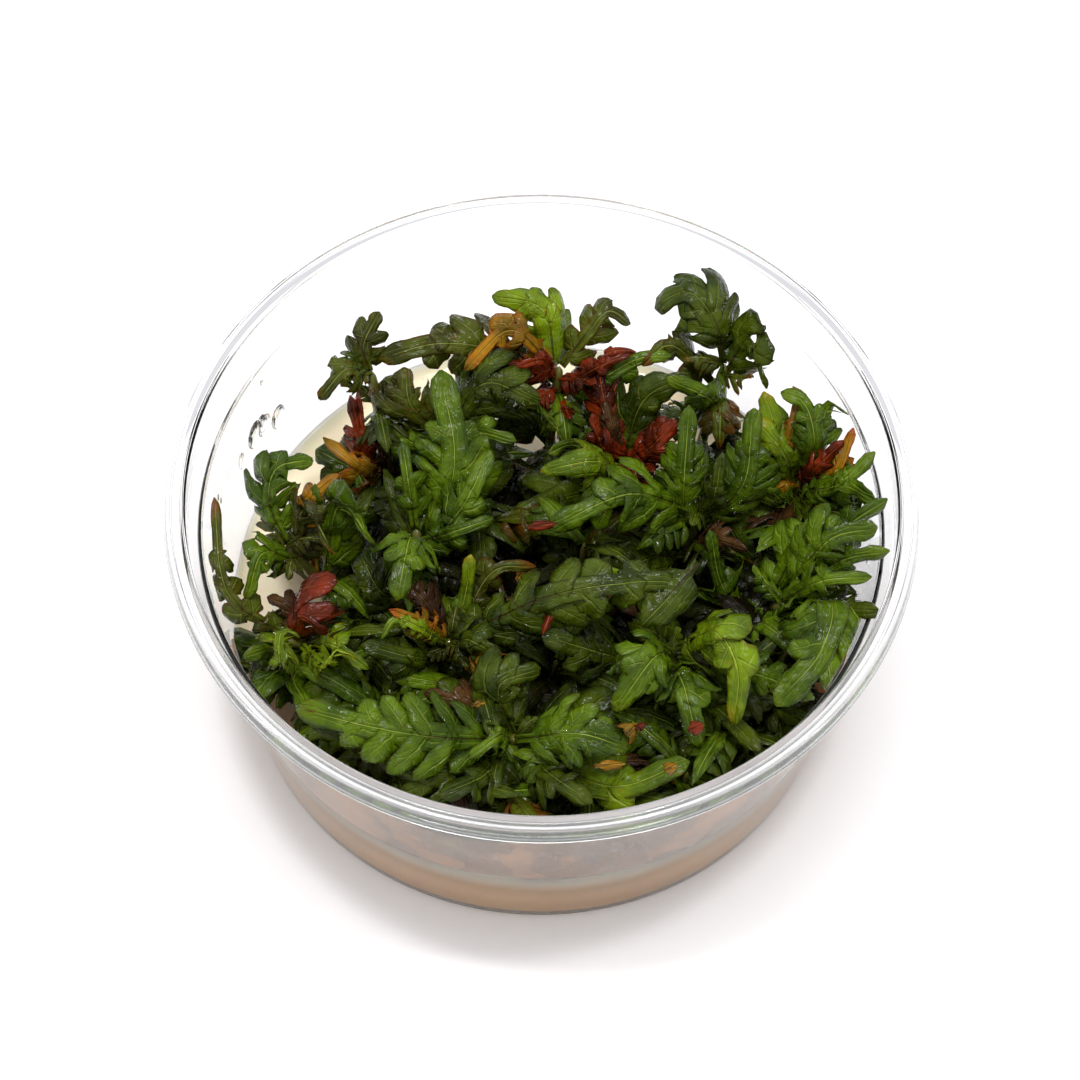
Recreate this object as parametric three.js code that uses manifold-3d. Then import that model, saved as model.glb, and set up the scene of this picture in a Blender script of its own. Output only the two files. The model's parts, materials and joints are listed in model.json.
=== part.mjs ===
// Hygrophila pinnatifida grown in a clear cup of nutrient gel, in millimetres, +Z up.
// The origin is the middle of the cup's base, and the camera of the reference view stands at -Y.
import * as THREE from "three";
import { mergeVertices } from "three/addons/utils/BufferGeometryUtils.js";
import Module from "manifold-3d";

const wasm = await Module();
wasm.setup();

// Cup: a tapered tub with a step under its mouth, where a lid would sit, and a turned-down rim.
const CUP = {
  height: 44.2,
  baseRadius: 41.6,
  shoulderRadius: 45.9,
  shoulderHeight: 37.4,
  mouthRadius: 47.4,
  rimRadius: 50,
  skirtHeight: 1.75,
  wall: 0.8,
  floor: 1.2,
  footWidth: 2.6,
  footDepth: 0.6,
};
const GAP = 0.3; // clearance between neighbouring pieces
const ROUND = 28; // facets around the cup and the gel
const MERGE = 0.001; // vertices closer than this are one

// Gel: it fills the foot of the cup and climbs the wall a little.
const GEL = { top: 15, climb: 1.5, climbWidth: 2.5 };

// Stems: each shoot is rooted in the gel and leans to where its top leaves open.
const STEM = { radius: 0.85, sides: 5, steps: 3 };
const BESIDE = STEM.radius + GAP + 0.1; // from a stem's middle to where a leaf of its own starts
const STEMS = {
  back_left: [[-20, 11, 9], [-22, 17, 25], [-24, 23.5, 37]],
  left: [[-26, -2, 9], [-30, -3, 24], [-34.5, -2.5, 33]],
  left_front: [[-24, -9, 9], [-29, -13, 23], [-33.5, -15.5, 30]],
  mid_left: [[-17, -4, 9], [-17.5, -1, 20], [-17, 3, 29]],
  mid_back: [[-13, 10, 9], [-14, 14, 22], [-14, 17, 32]],
  centre: [[-10, -9, 9], [-11.5, -12, 20], [-12, -14.5, 29]],
  front: [[-2, -19, 9], [-2.5, -24, 20], [-3, -29.5, 30]],
  back: [[1, 20, 9], [1, 23, 24], [2, 25.5, 36]],
  red: [[9, 12, 9], [10, 14, 20], [11.5, 16, 28]],
  back_right: [[21, 20, 9], [23, 24, 24], [25, 26.5, 36]],
  mid_right: [[19, 4, 9], [20.5, 6, 20], [22, 9, 29]],
  right: [[30, 9, 9], [33, 11, 20], [36, 12.5, 29]],
  right_front: [[27, -4, 9], [29, -5, 20], [33, -7.5, 29]],
  front_right: [[14, -9, 9], [16, -12, 20], [18, -15.5, 29]],
};

// Leaf blades: a roof-shaped strip along the midrib, cut into lobes that sweep towards the tip.
const BLADE = {
  thickness: 0.6,
  stalkWidth: 1.2,
  stalkShare: 0.16,
  tipShare: 0.14,
  notch: 0.4,
  sweep: 0.5,
  droop: 0.16,
  roundedFrom: 7, // a narrower leaf has pointed lobes
};
const TO_LIGHT = [0, -0.45, 0.9]; // most leaves turn their upper face this way

const TONES = {
  green: [0x3c6420, 0.35],
  deep: [0x24401a, 0.3],
  lime: [0x86962c, 0.4],
  olive: [0x4c5222, 0.4],
  rust: [0x7a3418, 0.45],
  amber: [0x9a6a24, 0.45],
};

// Each leaf: its name, its stem, how far up the stem it grows, the points that its midrib passes,
// its width, its lobes on each side and its tone. Leaves that come first keep their whole shape.
const LEAVES = [
  ["centre_long", "centre", 1, [[0.8, -14, 40.5], [9, -13, 42.5], [17.8, -12, 41], [14.3, -15.5, 37]], 8, 5, "deep"],
  ["upright_left", "mid_left", 0.6, [[-12, 9, 36], [-14.3, 19.8, 43]], 11, 5, "green"],
  ["back_right_arch", "back_right", 1, [[23.4, 28.4, 43], [19.6, 32.2, 45], [14.4, 32, 42]], 9.5, 4, "deep"],
  ["arch_left", "back", 0.9, [[-8, 25, 41], [-15.3, 24, 43], [-22.9, 22.7, 41]], 8.5, 4, "olive"],
  ["upright_right_a", "mid_right", 0.55, [[19.3, 8, 34], [19.6, 14.6, 43]], 7, 5, "green"],
  ["upright_right_b", "mid_right", 0.75, [[27.3, 7.6, 35], [28, 13.6, 44]], 7.5, 5, "green"],
  ["right_edge", "right_front", 0.9, [[38.5, -12.5, 38], [36.8, -19.5, 37.5], [31, -26, 35]], 11, 5, "green"],
  ["right_top", "right_front", 1, [[38.5, -4.5, 41.5], [44.6, -3.2, 42]], 8, 4, "green"],
  ["right_fold", "right_front", 0.95, [[37.5, -10.4, 40.5], [43.4, -10.4, 41.5]], 5, 3, "green"],
  ["front_left_long", "front", 0.95, [[-13, -32.5, 36], [-22.3, -31.5, 37], [-31.5, -28.5, 36]], 10, 5, "green"],
  ["front_bright", "front", 1, [[5.9, -32.6, 38], [12.1, -33.6, 36]], 8.6, 4, "green"],
  ["front_low_left", "front", 0.7, [[-12.3, -34.8, 30], [-20.4, -33.1, 32]], 10, 4, "deep"],
  ["front_low_right", "front", 0.8, [[10, -36.5, 31], [19.5, -34.5, 35]], 8.4, 3, "lime"],
  ["left_arch", "left", 1, [[-36.5, 1, 39], [-35.5, 3.6, 42.5], [-30.6, 6.8, 40.5]], 6.4, 4, "green"],
  ["left_wall", "left_front", 0.9, [[-41.2, -11.5, 35], [-43.6, 0, 41]], 4, 4, "olive"],
  ["front_right_arch", "front_right", 0.95, [[23.1, -19.5, 42], [25.7, -23.4, 40], [25.5, -29, 34]], 6.8, 4, "lime"],
  ["front_right_bow", "front_right", 1, [[14.8, -22, 39], [10, -28, 35.5]], 8, 4, "green"],
  ["front_right_wet", "front_right", 0.8, [[19, -24.5, 36.5], [21, -31.5, 33]], 8, 4, "green"],
  ["back_lime", "back", 0.9, [[-0.6, 30.9, 42], [-7.7, 33, 42]], 6.6, 4, "lime"],
  ["back_strap", "back", 1, [[5.8, 28.2, 40.5], [8.6, 30.2, 43], [12, 29.9, 40.5]], 5, 3, "olive"],
  ["red_broad", "red", 0.8, [[14, 19.7, 37.5], [20, 21.8, 40]], 7, 3, "deep"],
  ["olive_toothed", "red", 0.9, [[6, 7.5, 40], [-0.5, 7, 38]], 6, 4, "lime"],
  ["red_right", "red", 1, [[15.2, 13.8, 35], [17.6, 15.5, 38.5]], 6, 3, "rust"],
  ["back_right_side", "back_right", 0.92, [[27.8, 26, 42.5], [29.6, 20, 39.5]], 6.2, 3, "deep"],
  ["back_right_green", "back_right", 0.6, [[22.8, 20, 37], [17, 19.4, 42]], 7, 3, "green"],
  ["right_straps", "right", 0.9, [[33, 12, 35.5], [29, 15.5, 39]], 9, 3, "lime"],
  ["right_back", "right", 1, [[36.8, 12.8, 38.5], [35, 16.3, 42.5], [31.9, 17.8, 42.5]], 6, 4, "green"],
  ["right_lobed", "right", 0.7, [[40.5, 6.5, 37], [43.8, 2, 40.5]], 7, 3, "green"],
  ["right_inner", "right_front", 0.75, [[35.4, -1.5, 37], [38.5, 2.4, 39]], 7, 3, "green"],
  ["right_low", "right_front", 0.6, [[31, -12.5, 31], [36.5, -17.5, 31]], 7, 3, "green"],
  ["front_right_low", "front_right", 0.85, [[27.5, -19.5, 30], [34, -21.5, 31]], 7, 3, "lime"],
  ["centre_dark", "front_right", 0.5, [[9, -16.5, 30], [1, -17.5, 36.5]], 9, 4, "deep"],
  ["centre_right", "mid_right", 0.9, [[11, 3, 39], [1, -2, 38]], 9, 4, "green"],
  ["centre_left_low", "centre", 0.6, [[-17.3, -18.5, 32], [-23, -18.5, 35]], 7, 3, "deep"],
  ["front_inner", "front", 0.9, [[-5, -24, 34.5], [0.5, -21.5, 35]], 7, 3, "deep"],
  ["left_red", "left_front", 0.97, [[-31.4, -15.2, 35.5], [-28.2, -17, 34]], 6.6, 3, "rust"],
  ["left_low", "left_front", 0.7, [[-35.6, -17.5, 31], [-38.4, -19.4, 32.5]], 6, 3, "green"],
  ["left_broad", "left", 0.6, [[-27, 1.5, 37], [-22.6, -4.2, 34.5]], 8, 3, "green"],
  ["left_hanging", "left", 0.85, [[-37, -7, 38], [-38.8, -11.8, 34]], 5, 3, "green"],
  ["mid_left_down", "mid_left", 0.9, [[-17.6, -4, 37.5], [-18.8, -12, 36]], 8.4, 4, "green"],
  ["mid_left_right", "mid_left", 0.8, [[-10.4, 3, 36], [-7.2, 9, 40]], 7, 3, "green"],
  ["mid_back_wet", "mid_back", 0.95, [[-8, 19.5, 40.5], [-0.5, 17.5, 39]], 8.4, 4, "deep"],
  ["mid_back_olive", "mid_back", 1, [[-18.3, 17.5, 38], [-19, 21, 41.5]], 7, 3, "olive"],
  ["back_left_up", "back_left", 1, [[-25, 25, 40.5], [-22.9, 28.4, 44]], 5.4, 2, "olive"],
];

// Small and low leaves are one piece with their stem: stem, place on it, midrib points, width, lobes.
const LEAFLETS = [
  ["back_left", 0.96, [[-27, 21, 41], [-31, 18.4, 37]], 5, 2],
  ["back_left", 0.75, [[-22, 19, 36], [-22, 19.7, 40]], 3.6, 1],
  ["back_left", 0.45, [[-26, 9.5, 36], [-30, 12.5, 37]], 4.6, 2],
  ["back_left", 0.35, [[-24.4, 13.4, 32], [-25.5, 18.5, 39]], 3, 3],
  ["back_left", 0.4, [[-26.5, 15, 25], [-32, 17.5, 26]], 9, 2],
  ["back_left", 0.35, [[-18, 21, 24], [-11.5, 24, 25]], 8, 2],
  ["back", 0.97, [[-5, 25.5, 44.6], [-11, 21, 41]], 5, 3],
  ["back", 0.94, [[-0.5, 23, 41], [-3.5, 20.5, 43]], 3, 3],
  ["back", 0.85, [[8, 24, 39], [12, 25.5, 40]], 3.2, 3],
  ["back", 0.7, [[-0.4, 18.8, 36], [2.4, 14.2, 37.5]], 5.4, 2],
  ["back", 0.45, [[-3.5, 24, 26], [-9, 24, 28]], 8, 2],
  ["back", 0.35, [[5.5, 24, 24], [12, 23.5, 26]], 9, 2],
  ["red", 1, [[8, 14, 34], [7, 15.6, 39]], 4, 3],
  ["red", 0.7, [[4, 14, 34], [1, 12, 34.5]], 5, 2],
  ["red", 0.8, [[6.8, 12, 34.5], [4.5, 10.6, 36]], 4, 2],
  ["red", 0.6, [[4, 10, 27], [-3.5, 5, 28]], 12, 2],
  ["back_right", 0.85, [[17, 27.5, 39], [13.6, 24.5, 38]], 5, 2],
  ["back_right", 0.4, [[27.5, 20, 25], [32.5, 17, 26]], 9, 2],
  ["mid_right", 0.8, [[23.4, 6, 34], [24, 9, 40]], 4.4, 2],
  ["mid_right", 0.5, [[15, 1.5, 25], [8, -3, 26]], 12, 2],
  ["mid_right", 0.4, [[25, 8, 24], [28.5, 1.5, 25]], 10, 2],
  ["right", 1, [[40, 9.5, 36], [41.6, 13.5, 40.5]], 4, 2],
  ["right", 0.6, [[32.6, 7, 32], [31, 5, 37]], 5, 2],
  ["right", 0.8, [[38.5, 5.5, 31], [40.5, -1, 33]], 7, 2],
  ["right_front", 0.7, [[34.5, -10, 29], [39, -14.5, 30]], 8, 2],
  ["right_front", 0.5, [[24.5, -4, 28.5], [22.8, -1.5, 37]], 5, 1],
  ["right_front", 0.4, [[34, -1.5, 25], [38.5, 4.5, 26]], 11, 2],
  ["front_right", 0.6, [[22.5, -22, 27], [26.5, -28, 29]], 10, 2],
  ["front_right", 0.4, [[9, -16, 24], [4.5, -22.5, 25]], 11, 2],
  ["front_right", 0.9, [[11.5, -8.5, 36], [6, -6.8, 36.5]], 4.6, 2],
  ["centre", 0.8, [[-9.8, -8.5, 33], [-9.4, -6.8, 38]], 5, 1],
  ["centre", 0.7, [[-6, -7, 35.5], [-0.5, -6.2, 35]], 4.6, 3],
  ["centre", 0.95, [[-9, -17, 34], [-5, -19, 33]], 6, 2],
  ["centre", 0.9, [[-15.5, -15.6, 36], [-19.5, -15.6, 39]], 3.6, 3],
  ["centre", 0.4, [[-5, -12, 25], [3, -8.5, 26]], 11, 2],
  ["left_front", 1, [[-34, -20, 37], [-31, -21.5, 35.5]], 4.4, 2],
  ["left_front", 0.8, [[-26.5, -19.5, 36], [-22.3, -22.3, 35]], 4.6, 3],
  ["left_front", 0.6, [[-32.4, -20.5, 29], [-29.5, -26.5, 31]], 9, 2],
  ["left_front", 0.5, [[-23.5, -14.5, 26], [-18.5, -21, 27]], 12, 2],
  ["left", 0.9, [[-31.5, -1, 40], [-28, -6, 36.5]], 4.6, 3],
  ["left", 0.4, [[-31, 4.5, 24], [-32.5, 12, 25]], 11, 2],
  ["mid_left", 1, [[-18, 5.4, 36], [-19, 10, 40]], 4.6, 2],
  ["mid_left", 0.9, [[-11, 0, 34], [-6.5, 1.4, 35]], 4.6, 2],
  ["mid_left", 0.5, [[-21.5, -4.5, 24], [-25.5, 2.5, 25]], 11, 2],
  ["mid_back", 0.9, [[-18.3, 13.6, 34.5], [-22, 16, 36]], 5, 2],
  ["mid_back", 0.8, [[-9, 14.6, 35.5], [-4, 12.6, 36.5]], 5, 3],
  ["mid_back", 0.5, [[-9.5, 8.5, 25], [-8, 0, 26]], 12, 2],
  ["front", 0.92, [[-5, -31.5, 34.5], [-8.5, -34.5, 34]], 4, 2],
  ["front", 0.5, [[-9.5, -24.5, 26], [-17.5, -25, 27]], 11, 2],
  ["front", 0.6, [[4.5, -25.5, 27], [12, -26, 28]], 11, 2],
];

const vector = (point) => new THREE.Vector3(...point);

// Joins a closed geometry's shared vertices and makes it a solid that booleans can use.
function solidOf(geometry) {
  for (const name of ["normal", "uv"]) geometry.deleteAttribute(name);
  const merged = mergeVertices(geometry, MERGE);
  const triVerts = new Uint32Array(merged.index.array);
  const vertProperties = merged.attributes.position.array;
  return new wasm.Manifold(new wasm.Mesh({ numProp: 3, vertProperties, triVerts }));
}

function geometryOf(solid) {
  const { vertProperties, triVerts } = solid.getMesh();
  const geometry = new THREE.BufferGeometry();
  geometry.setAttribute("position", new THREE.BufferAttribute(vertProperties, 3));
  geometry.setIndex(new THREE.BufferAttribute(triVerts, 1));
  return geometry;
}

// Turns a profile of [radius, height] points around the cup's axis.
function turned(profile) {
  const points = profile.map(([radius, height]) => new THREE.Vector2(radius, height));
  return solidOf(new THREE.LatheGeometry(points, ROUND).rotateX(Math.PI / 2));
}

// The radius of the cup's inner wall at a height below the step.
function innerRadius(height) {
  const { baseRadius, shoulderRadius, shoulderHeight, wall } = CUP;
  return baseRadius - wall + ((shoulderRadius - baseRadius) * height) / shoulderHeight;
}

function cupSolid() {
  const { height, baseRadius, shoulderRadius, shoulderHeight, mouthRadius, rimRadius } = CUP;
  const { skirtHeight, wall, floor, footWidth, footDepth } = CUP;
  const outerMouth = mouthRadius + wall;
  const skirt = height - skirtHeight;
  return turned([
    [0, footDepth],
    [baseRadius - footWidth - footDepth, footDepth],
    [baseRadius - footWidth, 0],
    [baseRadius - wall, 0],
    [baseRadius, wall],
    [shoulderRadius, shoulderHeight],
    [outerMouth, shoulderHeight + wall],
    [outerMouth, height - wall],
    [rimRadius - wall, skirt],
    [rimRadius, skirt],
    [rimRadius - wall, height],
    [mouthRadius, height],
    [mouthRadius, shoulderHeight + wall],
    [innerRadius(shoulderHeight + wall), shoulderHeight + wall],
    [innerRadius(floor + 1), floor + 1],
    [innerRadius(floor) - 1, floor],
    [0, floor],
  ]);
}

// The free space of the cup above the gel, kept clear of the wall, where the leaves stay.
function roomSolid() {
  const low = GEL.top + GAP;
  const edge = low + GEL.climb;
  const step = CUP.shoulderHeight + CUP.wall + GAP;
  const above = CUP.height * 1.5;
  return turned([
    [0, low],
    [innerRadius(low) - GEL.climbWidth - GAP, low],
    [innerRadius(edge) - GAP, edge],
    [innerRadius(step) - GAP, step],
    [CUP.mouthRadius - GAP, step],
    [CUP.mouthRadius - GAP, above],
    [0, above],
  ]);
}

function gelSolid() {
  const low = CUP.floor + GAP;
  const edge = GEL.top + GEL.climb;
  return turned([
    [0, low],
    [innerRadius(low) - 1 - GAP, low],
    [innerRadius(low + 1) - GAP, low + 1],
    [innerRadius(edge) - GAP, edge],
    [innerRadius(GEL.top) - GAP - GEL.climbWidth, GEL.top],
    [0, GEL.top],
  ]);
}

const stemCurve = (name) => new THREE.CatmullRomCurve3(STEMS[name].map(vector));

function stemSolid(name, clearance = 0) {
  const section = new THREE.Shape();
  for (let i = 0; i < STEM.sides; i++) {
    const turn = (i / STEM.sides) * Math.PI * 2;
    const radius = STEM.radius + clearance;
    const corner = [radius * Math.cos(turn), radius * Math.sin(turn)];
    if (i) section.lineTo(...corner);
    else section.moveTo(...corner);
  }
  const path = stemCurve(name);
  path.points[0].z -= clearance;
  path.points.at(-1).addScaledVector(path.getTangent(1), clearance);
  return solidOf(new THREE.ExtrudeGeometry(section, { steps: STEM.steps, extrudePath: path }));
}

// The stations of a lobed outline, each with its place along the midrib and its share of the width.
function outline(lobes, width) {
  const { stalkWidth, stalkShare, tipShare, notch, roundedFrom } = BLADE;
  const stalk = stalkWidth / width;
  const span = (1 - stalkShare - tipShare) / lobes;
  const envelope = (along) => Math.sin(Math.PI * (0.14 + 0.72 * along)) ** 0.7;
  const shoulders = width < roundedFrom ? [[0.5, 1]] : [[0.16, 0.95], [0.78, 1]];
  const stations = [[0, stalk]];
  for (let i = 0; i < lobes; i++) {
    const start = stalkShare + i * span;
    const full = envelope(start + span / 2);
    stations.push([start, i ? notch * full : stalk]);
    for (const [place, share] of shoulders) stations.push([start + span * place, share * full]);
  }
  stations.push([1 - tipShare, notch * 0.8], [1 - tipShare * 0.5, 0.5], [1, 0.1]);
  return stations;
}

// The direction across the blade at each station. It is set where the midrib's middle turns its
// upper face to the light, and carried along the midrib from there without twisting.
function sideways(tangents, facing) {
  const level = (vectorAcross, ahead) =>
    vectorAcross.clone().addScaledVector(ahead, -vectorAcross.dot(ahead)).normalize();
  const middle = Math.floor(tangents.length / 2);
  const across = [];
  across[middle] = tangents[middle].clone().cross(facing).normalize();
  for (let i = middle + 1; i < tangents.length; i++) across[i] = level(across[i - 1], tangents[i]);
  for (let i = middle - 1; i >= 0; i--) across[i] = level(across[i + 1], tangents[i]);
  return across;
}

// A leaf blade along a midrib: a flat underside between its two edges, and a crest over the midrib.
// With a clearance it is the space that the leaf keeps to itself, and has a keel under the midrib.
function bladeSolid({ midrib, width, lobes, facing = TO_LIGHT }, clearance = 0) {
  const curve = new THREE.CatmullRomCurve3(midrib);
  const stations = outline(lobes, width);
  const tangents = stations.map(([along]) => curve.getTangentAt(along));
  const across = sideways(tangents, vector(facing));
  const corners = [];
  const sides = clearance ? 4 : 3;
  stations.forEach(([along, share], i) => {
    const half = (width / 2) * share;
    const upward = across[i].clone().cross(tangents[i]);
    const crest = curve.getPointAt(along);
    const edge = crest.clone().addScaledVector(upward, -BLADE.thickness - half * BLADE.droop);
    const keel = edge.clone().addScaledVector(upward, -2 * clearance);
    edge.addScaledVector(tangents[i], half * BLADE.sweep * (1 - along));
    edge.addScaledVector(upward, -clearance);
    crest.addScaledVector(upward, 2 * clearance);
    corners.push(edge.clone().addScaledVector(across[i], -half - 3 * clearance), crest);
    corners.push(edge.clone().addScaledVector(across[i], half + 3 * clearance));
    if (clearance) corners.push(keel);
  });
  const faces = [];
  const end = corners.length - sides;
  for (let i = 2; i < sides; i++) faces.push(0, i, i - 1, end, end + i - 1, end + i);
  for (let ring = 0; ring < end; ring += sides) {
    for (let i = 0; i < sides; i++) {
      const j = (i + 1) % sides;
      faces.push(ring + i, ring + j, ring + sides + j, ring + i, ring + sides + j, ring + sides + i);
    }
  }
  const geometry = new THREE.BufferGeometry().setFromPoints(corners);
  geometry.setIndex(faces);
  return solidOf(geometry);
}

const largest = (solid) => solid.decompose().sort((a, b) => b.volume() - a.volume())[0];

// The main body of a cut or joined piece, once its nearest vertices are merged.
const mainBody = (solid) => largest(solidOf(geometryOf(largest(solid))));

const stemNames = Object.keys(STEMS);
const room = roomSolid();
const taken = stemNames.map((name) => stemSolid(name, GAP));

// Cuts a leaf back where it would touch the cup, the gel, a stem or a leaf that is already placed.
function fitted(blade, obstacles) {
  let free = blade;
  if (blade.subtract(room).volume() > 0) free = blade.intersect(room);
  for (const obstacle of obstacles) {
    if (free.intersect(obstacle).volume() > 0) free = free.subtract(obstacle);
  }
  return free;
}

const plant = new THREE.Group();

function addPiece(name, solid, [color, roughness], extra = {}) {
  const material = new THREE.MeshStandardMaterial({ color, roughness, metalness: 0, ...extra });
  const mesh = new THREE.Mesh(geometryOf(solid), material);
  mesh.name = name;
  plant.add(mesh);
}

// A leaf's midrib: it starts at a share of the stem's length from its root, beside the stem where
// the leaf is a piece of its own, and inside it where the leaf is one piece with the stem.
function midribFrom(stem, height, points, beside) {
  const curve = stemCurve(stem);
  const root = curve.getPointAt(height);
  const along = curve.getTangentAt(height);
  const outward = vector(points[0]).sub(root);
  outward.addScaledVector(along, -outward.dot(along)).setLength(beside);
  return [root.add(outward), ...points.map(vector)];
}

addPiece("cup", cupSolid(), [0xf4f6f7, 0.08], { transparent: true, opacity: 0.25 });

const pockets = stemNames.map((name) => stemSolid(name, GAP));
const gel = pockets.reduce((block, pocket) => block.subtract(pocket), gelSolid());
addPiece("gel", gel, [0xc8a988, 0.2], { transparent: true, opacity: 0.6 });

for (const [name, stem, height, points, width, lobes, tone, facing] of LEAVES) {
  const leaf = { midrib: midribFrom(stem, height, points, BESIDE), width, lobes, facing };
  addPiece("leaf_" + name, mainBody(fitted(bladeSolid(leaf), taken)), TONES[tone]);
  taken.push(bladeSolid(leaf, GAP));
}

for (const name of stemNames) {
  const others = taken.filter((_, i) => i !== stemNames.indexOf(name));
  let shoot = stemSolid(name);
  for (const [stem, height, points, width, lobes, facing] of LEAFLETS) {
    if (stem !== name) continue;
    const leaf = { midrib: midribFrom(stem, height, points, 0), width, lobes, facing };
    shoot = shoot.add(fitted(bladeSolid(leaf), others));
    taken.push(bladeSolid(leaf, GAP));
  }
  addPiece("stem_" + name, mainBody(shoot), TONES.olive);
}

export default plant;
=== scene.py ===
"""Hygrophila pinnatifida grown in a clear cup of nutrient gel, with the finish of every piece.

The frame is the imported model, in metres, +Z up, with its origin under the middle of the cup.
Leaves and stems repeat the construction's own points, in millimetres, and grow into thin lobed
blades with veins. The cup, the gel, its roots, the film of gel on the wall and the drops of water
are made around them.
"""

import json
import logging
import math
import random
from dataclasses import dataclass, replace
from enum import Enum
from typing import Iterable, Sequence

import bmesh
import bpy
from mathutils import Matrix, Vector, noise


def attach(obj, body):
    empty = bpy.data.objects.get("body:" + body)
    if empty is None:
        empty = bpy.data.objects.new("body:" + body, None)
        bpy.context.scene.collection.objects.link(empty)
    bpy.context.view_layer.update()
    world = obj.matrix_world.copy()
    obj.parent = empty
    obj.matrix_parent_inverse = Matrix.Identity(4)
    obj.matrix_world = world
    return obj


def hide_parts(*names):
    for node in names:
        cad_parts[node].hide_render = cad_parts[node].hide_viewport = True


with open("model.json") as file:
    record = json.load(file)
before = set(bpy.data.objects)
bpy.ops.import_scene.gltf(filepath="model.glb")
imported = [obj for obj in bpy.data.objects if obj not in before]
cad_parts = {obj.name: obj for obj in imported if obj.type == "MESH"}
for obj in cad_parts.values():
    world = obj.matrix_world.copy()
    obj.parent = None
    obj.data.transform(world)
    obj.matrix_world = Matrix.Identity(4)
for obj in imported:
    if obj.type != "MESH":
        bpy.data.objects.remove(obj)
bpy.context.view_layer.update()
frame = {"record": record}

MM = 0.001
GOLDEN_TURN = math.pi * (3 - math.sqrt(5))
# A turned section starts this many millimetres from the axis, and corners this near are joined
AXIS = 0.01
WELD = 0.03
log = logging.getLogger("cup_plant")

Point = tuple[float, float, float]
Colour = tuple[float, float, float, float]


def paint(code: str) -> Colour:
    """Turns a display colour into the linear values that a shader takes.

    Args:
        code: Six hexadecimal digits, two for each of red, green and blue.

    Returns:
        Linear red, green and blue, with an alpha of one.
    """
    shares = [int(code[i : i + 2], 16) / 255 for i in (0, 2, 4)]
    linear = [s / 12.92 if s <= 0.04045 else ((s + 0.055) / 1.055) ** 2.4 for s in shares]
    return (linear[0], linear[1], linear[2], 1.0)


class Value:
    """A shader socket that Python's own operators can do sums with."""

    def __init__(self, graph: "Graph", socket: bpy.types.NodeSocket) -> None:
        """Keeps the socket and the graph that it is in."""
        self.graph = graph
        self.socket = socket

    def sum(self, operation: str, *others: "Value | float") -> "Value":
        """Adds a Math node of one operation, with this value first."""
        return self.graph.add("ShaderNodeMath", {"operation": operation}, dict(enumerate((self, *others))))

    def __add__(self, other: "Value | float") -> "Value":
        """Adds a number or a value."""
        return self.sum("ADD", other)

    def __sub__(self, other: "Value | float") -> "Value":
        """Takes a number or a value away."""
        return self.sum("SUBTRACT", other)

    def __mul__(self, other: "Value | float") -> "Value":
        """Multiplies by a number or a value."""
        return self.sum("MULTIPLY", other)

    def __abs__(self) -> "Value":
        """Drops the sign."""
        return self.sum("ABSOLUTE")

    def fraction(self) -> "Value":
        """Keeps what is past the last whole number."""
        return self.sum("FRACT")

    def rise(self, low: float, high: float) -> "Value":
        """Rises smoothly from none to one between two levels, or falls if low is above high."""
        levels = {"Value": self, "From Min": low, "From Max": high}
        return self.graph.add("ShaderNodeMapRange", {"interpolation_type": "SMOOTHSTEP"}, levels)


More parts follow.
